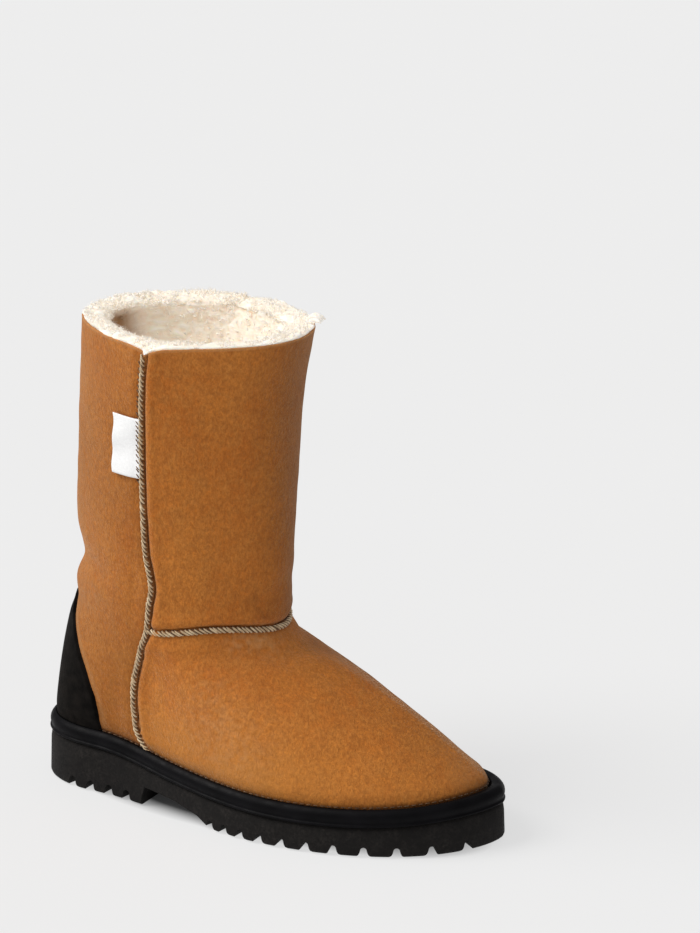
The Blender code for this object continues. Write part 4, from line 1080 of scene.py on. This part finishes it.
rim_rows = [sole_ring(grow, height) for grow, height in RIM_SECTION]
foot_row = int(row_of(1.0))
inner_lines = ((GROOVE, 0.0098), (GROOVE - 0.0006, 0.0094), (GROOVE - 0.0011, 0.0084),
               (0.0012, 0.0070), (0.0006, 0.0060), (CLEAR, 0.0050))
for out, height in inner_lines:
    line = SKIN[foot_row] + NORMALS[foot_row] * (1, 1, 0) * out
    line[:, 2] = sole_top(line[:, 0]) + height
    rim_rows.append(line)
rim = surface("rubber_rim", np.array(rim_rows), rubber.material, "rim_rubber")
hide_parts("midsole")

# %% [markdown]
# A row of small stitches in the groove holds the upper down to the rim. They are short loops
# in a dull thread, nearly hidden, and only their crowns show as dots along the suede.

# %% Stitches in the groove
groove_row = float(row_of(1.25))
groove = seam_path(np.full(900, groove_row), np.linspace(0, AROUND, 900), 0.0005, 0.0007)
LOOP_PITCH, LOOP_HALF, LOOP_RADIUS = 0.0040, 0.0011, 0.00030
LOOP_CROWN, LOOP_SUNK = 0.0002, 0.0012
at = np.arange(LOOP_PITCH / 2, groove["at"][-1], LOOP_PITCH)
u = np.linspace(-1, 1, 7)
where = np.clip(at[:, None] + LOOP_HALF * u, 0, groove["at"][-1])
loops = beside_path(groove, where, 0 * u, LOOP_CROWN * (1 - u ** 2)) - np.array([0, 0, LOOP_SUNK])
loop_parts = tube_parts(loops, np.full(where.shape, LOOP_RADIUS), along_path(groove, at, "out"), 6)
new_piece("groove_stitches", *loop_parts, dark_thread.material, "rim_rubber")

# %% [markdown]
# ## The lugged sole
# The sole is one block of matt rubber under the rim. Its side flares to the ground, its bottom
# edge is rounded, and gaps between the lugs are cut in from the side. The block is swept round
# the outline, and the arch and the gaps are taken out with Boolean cutters whose tops are
# round, as the mould's are. A bevel then softens every cut edge.

# %% Outsole
tread = Finish("tread_rubber", Roughness=0.82, Specular_IOR_Level=0.20)
tread_grain = tread.grain(0.0018, 4.0, 0.75)
broad = tread.scale(tread.grain(0.009, 4.0, 0.65), 0.36, 0.70)
worn = tread.sum(broad, tread.scale(tread_grain, 0.40, 0.75), "MULTIPLY")
tread.colour(tread.mix(worn, (0.0058, 0.0048, 0.0044), (0.030, 0.0255, 0.0225)))
tread.bump(tread_grain, 0.0005, 0.8)
SOLE_SECTION_LOW = ((-0.0028, 0.0), (-0.0014, 0.0001), (-0.0004, 0.0005), (0.0004, 0.0012),
                    (SOLE_FLARE, 0.0022))
SOLE_SECTION_HIGH = ((0.0002, -0.0062), (-0.0002, -0.0036), (-0.0005, -0.0022), (-0.0009, -0.0014),
                     (-0.0014, -0.0007), (-0.0020, 0.0))
block_rows = [sole_ring(g, h, sole_bottom) for g, h in SOLE_SECTION_LOW]
block_rows += [sole_ring(g, h) for g, h in SOLE_SECTION_HIGH]
block_rows = [ring[::2] for ring in block_rows]


def capped(rows):
    """Closed loft: quads round the side, and strips from side to side at both ends."""
    columns = len(rows[0])
    faces = grid_faces(len(rows), columns, True)
    for start, up in ((0, False), ((len(rows) - 1) * columns, True)):
        for j in range(columns // 2):
            quad = [j, j + 1, (columns - j - 1) % columns, (columns - j) % columns]
            quad = [start + q for q in dict.fromkeys(quad)]
            if len(quad) > 2:
                faces.append(quad if up else quad[::-1])
    return np.concatenate(rows), faces


outsole = new_piece("lugged_outsole", *capped(block_rows), tread.material, "tread_rubber")

# %% [markdown]
# A cutter is a flat outline drawn out into a prism. Each gap's prism stands at a station on the
# sole's outline and points inwards, so the gaps fan out round the heel and the toe.

# %% Shapes of the cutters
def prism(profile, start, reach_in, reach_out, across, out, up=np.array([0, 0, 1.0])):
    """A closed outline, across and up, drawn along the direction out."""
    points = [start + across * a + up * h + out * way
              for way in (-reach_in, reach_out) for a, h in profile]
    n = len(profile)
    faces = [[j, (j + 1) % n, n + (j + 1) % n, n + j] for j in range(n)]
    return np.array(points), faces + [list(range(n))[::-1], list(range(n, 2 * n))]


def sole_station(side, share):
    """Place and outward direction on the rim: share runs from the heel to the toe tip."""
    plan = outline(SOLE)
    half = plan[:SIDE + 1] if side == "lateral" else np.vstack([plan[SIDE:], plan[:1]])[::-1]
    run = np.concatenate([[0], np.cumsum(np.linalg.norm(np.diff(half, axis=0), axis=1))])
    at = share * run[-1]
    spot = np.array([np.interp(at, run, half[:, c]) for c in (0, 1)])
    ahead, behind_it = (np.array([np.interp(v, run, half[:, c]) for c in (0, 1)])
                        for v in (min(at + 0.004, run[-1]), max(at - 0.004, 0.0)))
    dx, dy = ahead - behind_it
    out = np.array([dy, -dx]) * (1 if side == "lateral" else -1)
    return np.array([*spot, 0.0]), unit(np.array([*out, 0.0]))


HEEL_GAPS, HEEL_GAP_RANGE = 4, (0.153, 0.268)
TREAD_GAPS = 11
TREAD_GAP_START, TREAD_GAP_PITCH, TREAD_GAP_GROWTH = 0.462, 0.028, 0.0018
CHANNELS_AT = (0.08, 0.22, 0.52, 0.66)  # shares of half the length, from the middle to the toe
HEEL_GAP = (0.0048, 0.0070, 0.0024)  # width, height and flare of the feet
TREAD_GAP = (0.0038, 0.0062, 0.0036)
CHANNEL = (0.0045, 0.0030, 0.0008)
HEEL_GAP_REACH, TREAD_GAP_REACH, PAST_SIDE = 0.0102, 0.0170, 0.006
TOEWARD, INWARD = np.array([1.0, 0, 0]), np.array([0, 1.0, 0])


def gap_profile(width, height, flare):
    """An arch as wide as the gap and as high, whose feet flare so that the lugs' corners are round."""
    half = width / 2
    straight = height - half
    foot = [(half + flare, -0.004), (half + flare, 0.0), (half + 0.62 * flare, 0.12 * straight),
            (half + 0.32 * flare, 0.34 * straight), (half + 0.10 * flare, 0.70 * straight)]
    top = [(half * math.cos(a), height - half + half * math.sin(a))
           for a in np.linspace(0.0, math.pi, 9)]
    return foot + top + [(-a, h) for a, h in foot[::-1]]


def gap_cut(size, spot, reach, out):
    """A gap cut in from the side of the sole, as deep as its reach."""
    return prism(gap_profile(*size), spot, reach, PAST_SIDE, np.cross(out, (0, 0, 1)), out)


print("gaps on each side:", HEEL_GAPS + TREAD_GAPS)

# %% [markdown]
# The gaps and the channels across the tread become one cutter, the arch another.

# %% Gaps, channels and arch
cuts = []
for side in ("lateral", "medial"):
    for k in range(HEEL_GAPS):
        spot, out = sole_station(side, float(np.interp(k, (0, HEEL_GAPS - 1), HEEL_GAP_RANGE)))
        cuts.append(gap_cut(HEEL_GAP, spot, HEEL_GAP_REACH, out))
    for k in range(TREAD_GAPS):
        spot, out = sole_station(side, TREAD_GAP_START + k * TREAD_GAP_PITCH + k * k * TREAD_GAP_GROWTH)
        spot[2] = float(sole_bottom(spot[0]))
        cuts.append(gap_cut(TREAD_GAP, spot, TREAD_GAP_REACH, out))
for x in CHANNELS_AT:
    half_span = 0.25 * (BALL_LATERAL + BALL_MEDIAL)
    middle = np.array([x * HALF, TOE_SWING * ((x + 1) / 2) ** 2.5, float(sole_bottom(x * HALF))])
    cuts.append(prism(gap_profile(*CHANNEL), middle, half_span, half_span, TOEWARD, INWARD))
points, faces = [], []
for p, f in cuts:
    faces += [[i + len(points) for i in face] for face in f]
    points += p.tolist()
points = np.array(points) + (0, MOVE_Y, 0)
gap_cutter = mesh_object("tread_gaps", points, faces)
ARCH = [(HEEL_BREAST - 0.002, -0.01), (HEEL_BREAST - 0.002, 0.0), (HEEL_BREAST - 0.001, 0.6 * ARCH_HEIGHT),
        (HEEL_BREAST + 0.001, 1.18 * ARCH_HEIGHT), (0.55 * HEEL_BREAST + 0.45 * TREAD_START, ARCH_HEIGHT),
        (TREAD_START - 0.012, 0.62 * ARCH_HEIGHT), (TREAD_START, 0.0), (TREAD_START, -0.01)]
arch_cutter = mesh_object("arch_space", *prism(ARCH, np.zeros(3), 0.1, 0.1, TOEWARD, INWARD))
print("gaps and channels:", len(cuts))

# %% [markdown]
# A Boolean needs closed shapes whose faces all point out. After both cuts the bevel is set, and
# the cutters are removed.

# %% Cutting the sole
def consistent(obj):
    """Faces all pointing out, which a Boolean needs."""
    work = bmesh.new()
    work.from_mesh(obj.data)
    bmesh.ops.recalc_face_normals(work, faces=work.faces)
    work.to_mesh(obj.data)
    work.free()


for tool in (gap_cutter, arch_cutter, outsole):
    consistent(tool)
for tool in (arch_cutter, gap_cutter):
    cut = outsole.modifiers.new(tool.name, "BOOLEAN")
    cut.operation = "DIFFERENCE"
    cut.object = tool
    cut.solver = "EXACT"
    cut.use_self = True
bpy.context.view_layer.update()
cut_mesh = bpy.data.meshes.new_from_object(outsole.evaluated_get(bpy.context.evaluated_depsgraph_get()))
outsole.modifiers.clear()
outsole.data = cut_mesh
for tool in (gap_cutter, arch_cutter):
    bpy.data.objects.remove(tool)
soft = outsole.modifiers.new("worn_edges", "BEVEL")
soft.width = 0.0005
soft.segments = 2
soft.limit_method = "ANGLE"
soft.angle_limit = math.radians(42)
soft.use_clamp_overlap = True
outsole.data.shade_smooth()
outsole.data.set_sharp_from_angle(angle=math.radians(50))
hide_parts("outsole")
print("outsole has", len(outsole.data.polygons), "faces")

# %% [markdown]
# ## Fleece
# The lining is the wool side of the same skin: curly locks packed into a deep pile. From a step
# away it reads as rounded lumps with warm shadows between them; up close there are locks and
# single hairs. So it is made in three layers: a lumpy base that holds the shape, several
# thousand short tapering locks, and fine hairs that blur the outline. Hair particles would do
# the last two, but meshes travel to other programs.

# %% Fleece finishes
def fleece_finish(name, painted_crevice_shade, tip, warm):
    f = Finish(name, Roughness=0.95, Sheen_Weight=0.35, Sheen_Roughness=0.6,
               Sheen_Tint=(1.0, 0.95, 0.86, 1.0), Specular_IOR_Level=0.15,
               Subsurface_Weight=0.7, Subsurface_Scale=0.005, Subsurface_Radius=(1.0, 0.80, 0.60),
               Emission_Strength=0.15)
    curl = f.grain(0.0022, 3.0, 0.6, stretch=(1.6, 1.6, 0.7), warp=0.8)
    # Painted light: the wool glows faintly cream, which lifts its shadows, and the glow turns dark brown
    # where the cavity shade is painted.
    f.link(f.mix(f.stored("dusk"), (1.0, 0.86, 0.68), (0.10, 0.04, 0.01)),
           f.shader.inputs["Emission Color"])
    # The deep colour is painted shade in the cracks between the lumps and at the roots of the locks.
    base = f.mix(f.stored("depth"), painted_crevice_shade, tip)
    base = f.mix(f.sum(f.scale(f.grain(0.016, 3.0), 0.45, 0.75), 0.45, "MULTIPLY"), base, warm)
    base = f.mix(f.sum(f.scale(curl, 0.35, 0.7), 0.40, "MULTIPLY"), base, tip)
    f.colour(f.mix(f.stored("dusk"), base, (0.34, 0.18, 0.075)))
    f.bump(curl, 0.0006, 0.6)
    return f


wool = fleece_finish("cream_fleece", (0.80, 0.63, 0.44), (0.97, 0.93, 0.86), (0.96, 0.84, 0.66))
print("finish:", wool.material.name)


# %% [markdown]
# The base follows the skin at the pile's depth. Before it is set in, the rings are smoothed,
# because wool bridges the sharp inner corner at each side seam. Over the collar it rolls out
# to the suede's edge as a thick rounded rim. A stored value is painted shade: it browns the wool
# that lies in the shade of the shaft and dims its glow there.

# %% Fleece base
def soften(grid, columns):
    """Smooths rings around the boot over a number of columns."""
    spectrum = np.fft.rfft(grid, axis=-2)
    k = np.arange(spectrum.shape[-2])
    spectrum *= np.exp(-0.5 * (2 * math.pi * k * columns / AROUND) ** 2)[:, None]
    return np.fft.irfft(spectrum, AROUND, axis=-2)


SOFT_SKIN = soften(SKIN, 5)
SOFT_NORMALS = normals_of(SOFT_SKIN)
pile_at = np.interp(LEVEL_OF_ROW, (0, VAMP_LEVEL - 3, VAMP_LEVEL + 3, TOP_LEVEL),
                    (PILE_FOOT, PILE_FOOT, PILE_SHAFT, PILE_SHAFT))
BOTTOM_ROW = int(row_of(1.6))
wall_rows = list(range(ROW_COUNT - 1, ROW_COUNT - 110, -1)) + list(range(ROW_COUNT - 112, BOTTOM_ROW, -3))
top_ring, top_out = SOFT_SKIN[-1], unit(SOFT_NORMALS[-1] * (1, 1, 0))
seam_gap = np.exp(-abs(FROM_OUT[-1]) / NOTCH_HALF) + np.exp(-abs(FROM_IN[-1]) / NOTCH_HALF)
sharp_gap = ridge(FROM_OUT[-1], 0, 0.0020) + ridge(FROM_IN[-1], 0, 0.0020)
true_ring, true_out = SKIN[-1], unit(NORMALS[-1] * (1, 1, 0))
print("rings down the wall:", len(wall_rows))

# %% [markdown]
# The grid starts behind the cut edge, goes over the rim in a half circle and then down the wall.
# At the side seams it dips, as the suede does.

# %% Rim and wall of the pile
RIM_STEPS, RIM_RISE = 30, 0.0020
pile_grid = []
for k in (10, 6, 3):
    pile_grid.append(SKIN[-1 - k] - NORMALS[-1 - k] * (WALL + 0.0004))
for t in np.linspace(0.10, 1.0, RIM_STEPS):
    a = math.pi * t
    share = 0.5 - 0.5 * math.cos(a)
    outer_part = (1 - rise(share, 0.0, 0.25))
    ring = true_ring * outer_part + top_ring * (1 - outer_part)
    out = unit(true_out * outer_part + top_out * (1 - outer_part))
    set_in = 0.15 * WALL + share * (PILE_SHAFT + 0.85 * WALL + 0.0004)
    height = RIM_RISE * math.sin(a) ** 0.7 - 0.0026 * share ** 3
    line = ring - out * (set_in - 0.0012 * sharp_gap * outer_part)[:, None]
    line[:, 2] = COLLAR_HEIGHT + height - 0.0016 * sharp_gap * math.sin(a)
    line[:, 2] += (wave[-1] + 0.0004 - NOTCH_DEPTH * seam_gap) * outer_part
    pile_grid.append(line)
rim_count = len(pile_grid)
far_side = rise(SKIN[-1, :, 1], 0.0, 0.030)
for i in wall_rows:
    fluffed = 0.0065 * ridge(SKIN[i, 0, 2], COLLAR_HEIGHT - 0.045, 0.030)
    line = SOFT_SKIN[i] - SOFT_NORMALS[i] * (WALL + pile_at[i] + fluffed * far_side)[:, None]
    fall = rise(SKIN[i, 0, 2], COLLAR_HEIGHT - 0.010, COLLAR_HEIGHT)
    line[:, 2] -= 0.0024 * fall
    pile_grid.append(line)
PILE = np.array(pile_grid)
print("rows in the pile's grid:", len(PILE))

# %% [markdown]
# Rounded cells make the curls, finer noise roughens them and a slow one keeps the rim uneven.
# The rim's first rows hardly move, so that they close against the suede.

# %% Lumps of wool
PILE_OUT = -normals_of(PILE)
PILE_OUT *= np.sign((PILE_OUT[rim_count // 2, :, 2]).mean())
lump = cells(PILE, 0.0052, 3, (1.9, 1.9, 0.8))
curl = field(PILE, 0.0024, 4, (1.3, 1.3, 0.8))
slow = field(PILE, 0.016, 5)
fade_in = np.ones(len(PILE))
fade_in[:4] = (0, 0, 0.25, 0.6)
swell = (0.0009 * (lump - 0.45) + 0.00035 * curl + 0.0009 * slow) * fade_in[:, None]
PILE_TOP = PILE + PILE_OUT * swell[..., None]
base = surface("fleece_pile", PILE_TOP, wool.material, "fleece", flip=False)
below_rim = np.clip(COLLAR_HEIGHT - PILE[:, :, 2], 0, None)
heelward = rise(PILE[:, :, 0], -0.064, -0.077) * rise(PILE[:, :, 1], 0.024, 0.004)
# Painted shade: a band just below the rim at the back of the outer side, and the wall from about 45 mm
# down.
dusk = 1.00 * rise(below_rim, 0.0005, 0.0070) * heelward
dusk = np.maximum(dusk, 0.55 * rise(below_rim, 0.045, 0.110))
# Painted shade: the cracks between the lumps get a low depth and so the darker deep colour.
paint(base, depth=np.clip(0.55 + 0.42 * lump + 0.16 * curl, 0, 1), dusk=dusk)
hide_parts("fleece_lining")

# %% [markdown]
# Locks start at random points of the base. Each one leans, curls once and tapers. On the rim
# they stand up and out; down the wall they hang and lie sideways. Deeper down they get fewer,
# because nothing sees them there.

# %% How wool grows
dice = np.random.default_rng(21)


def roots(count, deepest):
    """Random places on the base, dense near the rim, thinning out below."""
    depth = rim_count + dice.beta(1.0, 1.9, count) * (deepest - rim_count)
    on_rim = dice.random(count) < 0.42
    row = np.where(on_rim, 6.5 + dice.random(count) * (rim_count - 6.5), depth)
    return row, dice.random(count) * AROUND


def wool_parts(count, deepest, length, radius, points, sides, curl_size, lean):
    row, column = roots(count, deepest)
    root, out = read(PILE_TOP, row, column), unit(read(PILE_OUT, row, column))
    combed = np.stack([field(root[:, None], 0.011, seed)[:, 0] for seed in (31, 32, 33)], -1)
    drift = unit(2.2 * combed + 0.35 * dice.normal(0, 1, (count, 3)))
    heading = unit(out + lean * drift - np.array([0, 0, 0.25]) * (row > rim_count)[:, None])
    side = unit(np.cross(heading, dice.normal(0, 1, (count, 3))))
    other = np.cross(heading, side)
    long = length * dice.uniform(0.6, 1.25, count)
    t = np.linspace(0, 1, points)
    phase = dice.uniform(0, 2 * math.pi, count)
    turns = dice.uniform(0.5, 1.1, count)
    swing = phase[:, None] + 2 * math.pi * turns[:, None] * t
    reach = curl_size * dice.uniform(0.5, 1.3, count)[:, None] * t
    bend = unit(np.cross(drift, heading))
    path = (root[:, None] - out[:, None] * radius
            + heading[:, None] * (long[:, None] * t * (1 - 0.25 * t))[..., None]
            + side[:, None] * (reach * np.cos(swing))[..., None]
            + other[:, None] * (reach * np.sin(swing))[..., None]
            + bend[:, None] * (0.35 * long[:, None] * t ** 2)[..., None])
    thick = radius * dice.uniform(0.7, 1.2, count)[:, None] * (1 - 0.85 * t ** 1.6)
    dark = read(dusk[..., None], row, column)[:, 0]
    return tube_parts(path, thick, side, sides), np.repeat(t[None], count, 0), dark


print("wool helpers ready")

# %% [markdown]
# The same function grows short thick locks and longer hairs with a radius of a tenth of a
# millimetre. Both carry a tone that is darker at the root, which is painted shade down in the pile.

# %% Locks and hairs
def wool_piece(name, count, deepest, length, radius, points, sides, curl_size, lean):
    parts, t, dark = wool_parts(count, deepest, length, radius, points, sides, curl_size, lean)
    piece = new_piece(name, *parts, wool.material, "fleece")
    # Painted shade: the tone is darkest at the root, down in the pile.
    tone = np.clip(0.70 + 0.30 * t + dice.normal(0, 0.07, (count, 1)), 0, 1)
    paint(piece, depth=np.repeat(tone[:, :, None], sides, 2),
          dusk=np.repeat(np.broadcast_to(dark[:, None, None], tone.shape + (1,)), sides, 2))
    return piece


DEEPEST = rim_count + 120
wool_piece("fleece_locks", count=5200, deepest=DEEPEST, length=0.0030, radius=0.00062,
           points=5, sides=4, curl_size=0.0006, lean=1.5)
wool_piece("fleece_hairs", count=7600, deepest=DEEPEST - 30, length=0.0036, radius=0.00010,
           points=5, sides=3, curl_size=0.0007, lean=1.6)

# %% [markdown]
# One curl stands out over the front of the collar, where the rim was brushed against something.
# It is a handful of larger locks that share a root.

# %% The stray curl
STRAY_BEARING = math.radians(29)
bearing = np.array([math.cos(STRAY_BEARING), math.sin(STRAY_BEARING), 0.0])
stray_column = int(np.argmax(SKIN[-1] @ bearing))
root = SKIN[-1, stray_column] + np.array([0, 0, 0.0026]) - bearing * 0.0030
CURL_LOCKS, CURL_POINTS, CURL_SIDES, CURL_RADIUS = 9, 8, 8, 0.0019
aside, upward = np.array([-0.5, 0.87, 0]), np.array([0, 0, 1.0])
t = np.linspace(0, 1, CURL_POINTS)
paths = []
for k in range(CURL_LOCKS):
    spread = (k - CURL_LOCKS // 2) / (CURL_LOCKS // 2)
    tip = bearing * (0.0088 - 0.003 * abs(spread)) + aside * 0.0055 * spread
    rise_up = upward * (0.0022 * np.sin(2.4 * t) + 0.0006 * math.sin(3 * k))[:, None]
    sway = aside * (0.0008 * np.sin(5 * t + k))[:, None]
    paths.append(root + aside * 0.0024 * spread + t[:, None] * tip + rise_up + sway)
thick = CURL_RADIUS * (1 - 0.75 * t ** 2) * np.ones((CURL_LOCKS, 1))
curl_parts = tube_parts(np.array(paths), thick, np.tile(upward, (CURL_LOCKS, 1)), CURL_SIDES)
stray = new_piece("fleece_stray_curl", *curl_parts, wool.material, "fleece")
paint(stray, depth=np.full(CURL_LOCKS * CURL_POINTS * CURL_SIDES, 0.85))

# %% [markdown]
# ## The insole
# Under the foot lies a separate cut of the same fleece, worn flatter. Only its top can be
# seen, down the shaft, so it is a sheet from side to side with the same lumps.

# %% Insole
insole_row = int(row_of(0.9))
insole_ring = SKIN[insole_row] - NORMALS[insole_row] * (1, 1, 0) * (WALL + CLEAR)
INSOLE_COLUMNS = 26
left = insole_ring[1:SIDE]
right = insole_ring[:SIDE:-1]
share = np.linspace(0, 1, INSOLE_COLUMNS)[None, :, None]
flat = left[:, None] * (1 - share) + right[:, None] * share
flat[:, :, 2] = sole_top(flat[:, :, 0]) + FLOOR + 2 * CLEAR + INSOLE
flat_lump = cells(flat, 0.0060, 6)
flat[:, :, 2] += 0.0009 * (flat_lump - 1.0) * np.sin(math.pi * share[..., 0]) ** 0.3
insole = surface("insole_pile", flat, wool.material, "insole_fleece", closed=False)
# Painted shade: the cracks between the insole's lumps get the darker deep colour.
paint(insole, depth=0.25 + 0.5 * flat_lump)
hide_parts("insole")

# %% [markdown]
# ## Floor and light
# The floor is a wide pale sheet, so the background is one even tone. It glows a little, except
# in an oval under the sole, where the glow fades to a painted shadow.

# %% Floor
floor_look = Finish("pale_floor", Roughness=0.9, Specular_IOR_Level=0.0,
                    Emission_Color=(1.0, 1.0, 1.0, 1.0))
under = floor_look.tree.nodes.new("ShaderNodeMapping")
SHADE_HALF_LENGTH, SHADE_HALF_WIDTH = 0.145, 0.053
under.inputs["Scale"].default_value = (1 / SHADE_HALF_LENGTH, 1 / SHADE_HALF_WIDTH, 0.0)
reach = floor_look.tree.nodes.new("ShaderNodeVectorMath")
reach.operation = "LENGTH"
floor_look.link(floor_look.place, under.inputs["Vector"])
floor_look.link(under.outputs["Vector"], reach.inputs[0])
# Painted shadow: the glow fades in an oval under the sole.
glow_and_painted_shadow = floor_look.scale(reach.outputs["Value"], 0.70, 0.98, 0.02, 0.648)
floor_look.link(glow_and_painted_shadow, floor_look.shader.inputs["Emission Strength"])
mottle = floor_look.grain(0.4, 2.0)
floor_look.colour(floor_look.mix(mottle, (0.195, 0.195, 0.197), (0.205, 0.205, 0.207)))
FLOOR_HALF, FLOOR_TOP = 7.0, -0.0002
corners = [(x * FLOOR_HALF, y * FLOOR_HALF, FLOOR_TOP) for x, y in ((-1, -1), (1, -1), (1, 1), (-1, 1))]
floor = mesh_object("floor", corners, [(0, 1, 2, 3)])
floor.data.materials.append(floor_look.material)
print("floor's width, m:", 2 * FLOOR_HALF)

# %% [markdown]
# A large soft sun from the upper left models the shaft, a weak one fills from the camera's side,
# and an even sky lights the shadows. The suns are aimed by the camera's own directions, so they
# keep their places in the picture when the camera turns.

# %% Lights
AZIMUTH, ELEVATION, DISTANCE = math.radians(29), math.radians(20), 2.2
back = Vector((math.sin(AZIMUTH) * math.cos(ELEVATION), -math.cos(AZIMUTH) * math.cos(ELEVATION),
               math.sin(ELEVATION)))
right = Vector((math.cos(AZIMUTH), math.sin(AZIMUTH), 0.0))
up = back.cross(right)


def sun(name, towards, strength, softness, colour):
    data = bpy.data.lights.new(name, "SUN")
    data.energy = strength
    data.angle = math.radians(softness)
    data.color = colour
    lamp = bpy.data.objects.new(name, data)
    lamp.rotation_euler = towards.to_track_quat("Z", "Y").to_euler()
    bpy.context.scene.collection.objects.link(lamp)


sun("soft_key", back * 0.50 - right * 1.05 + up * 1.10,
    strength=2.45, softness=35, colour=(1.0, 0.985, 0.96))
sun("soft_fill", back * 1.0 - right * 0.3 + up * 0.5,
    strength=0.25, softness=60, colour=(0.97, 0.98, 1.0))
SKY_STRENGTH = 0.365
world = bpy.data.worlds.new("studio")
world.use_nodes = True
world.node_tree.nodes["Background"].inputs["Color"].default_value = (1.0, 1.0, 1.0, 1.0)
world.node_tree.nodes["Background"].inputs["Strength"].default_value = SKY_STRENGTH
bpy.context.scene.world = world
bpy.context.scene.view_settings.view_transform = "Standard"

# %% [markdown]
# ## The camera
# The camera stands on the outer side, turned 29 degrees towards the toe and raised 20. The lens
# and its shift are worked out from the size and place of the boot in the picture, so that the
# boot stands as large and as low in the frame as in the photograph.

# %% Camera
AIM = Vector((0.0, 0.0, 0.120))
PIXELS_PER_METRE = 1740.0
FRAME_WIDTH, FRAME_HEIGHT = 700, 933
AIM_AT = (270.8, 609.3)
camera_data = bpy.data.cameras.new("photo_camera")
camera_data.sensor_fit = "AUTO"
camera_data.lens = PIXELS_PER_METRE * DISTANCE * camera_data.sensor_width / FRAME_HEIGHT
camera_data.shift_x = (FRAME_WIDTH / 2 - AIM_AT[0]) / FRAME_HEIGHT
camera_data.shift_y = (AIM_AT[1] - FRAME_HEIGHT / 2) / FRAME_HEIGHT
camera = bpy.data.objects.new("photo_camera", camera_data)
camera.location = AIM + back * DISTANCE
camera.rotation_euler = back.to_track_quat("Z", "Y").to_euler()
bpy.context.scene.collection.objects.link(camera)
bpy.context.scene.camera = camera
print("lens, mm:", round(camera_data.lens, 1))
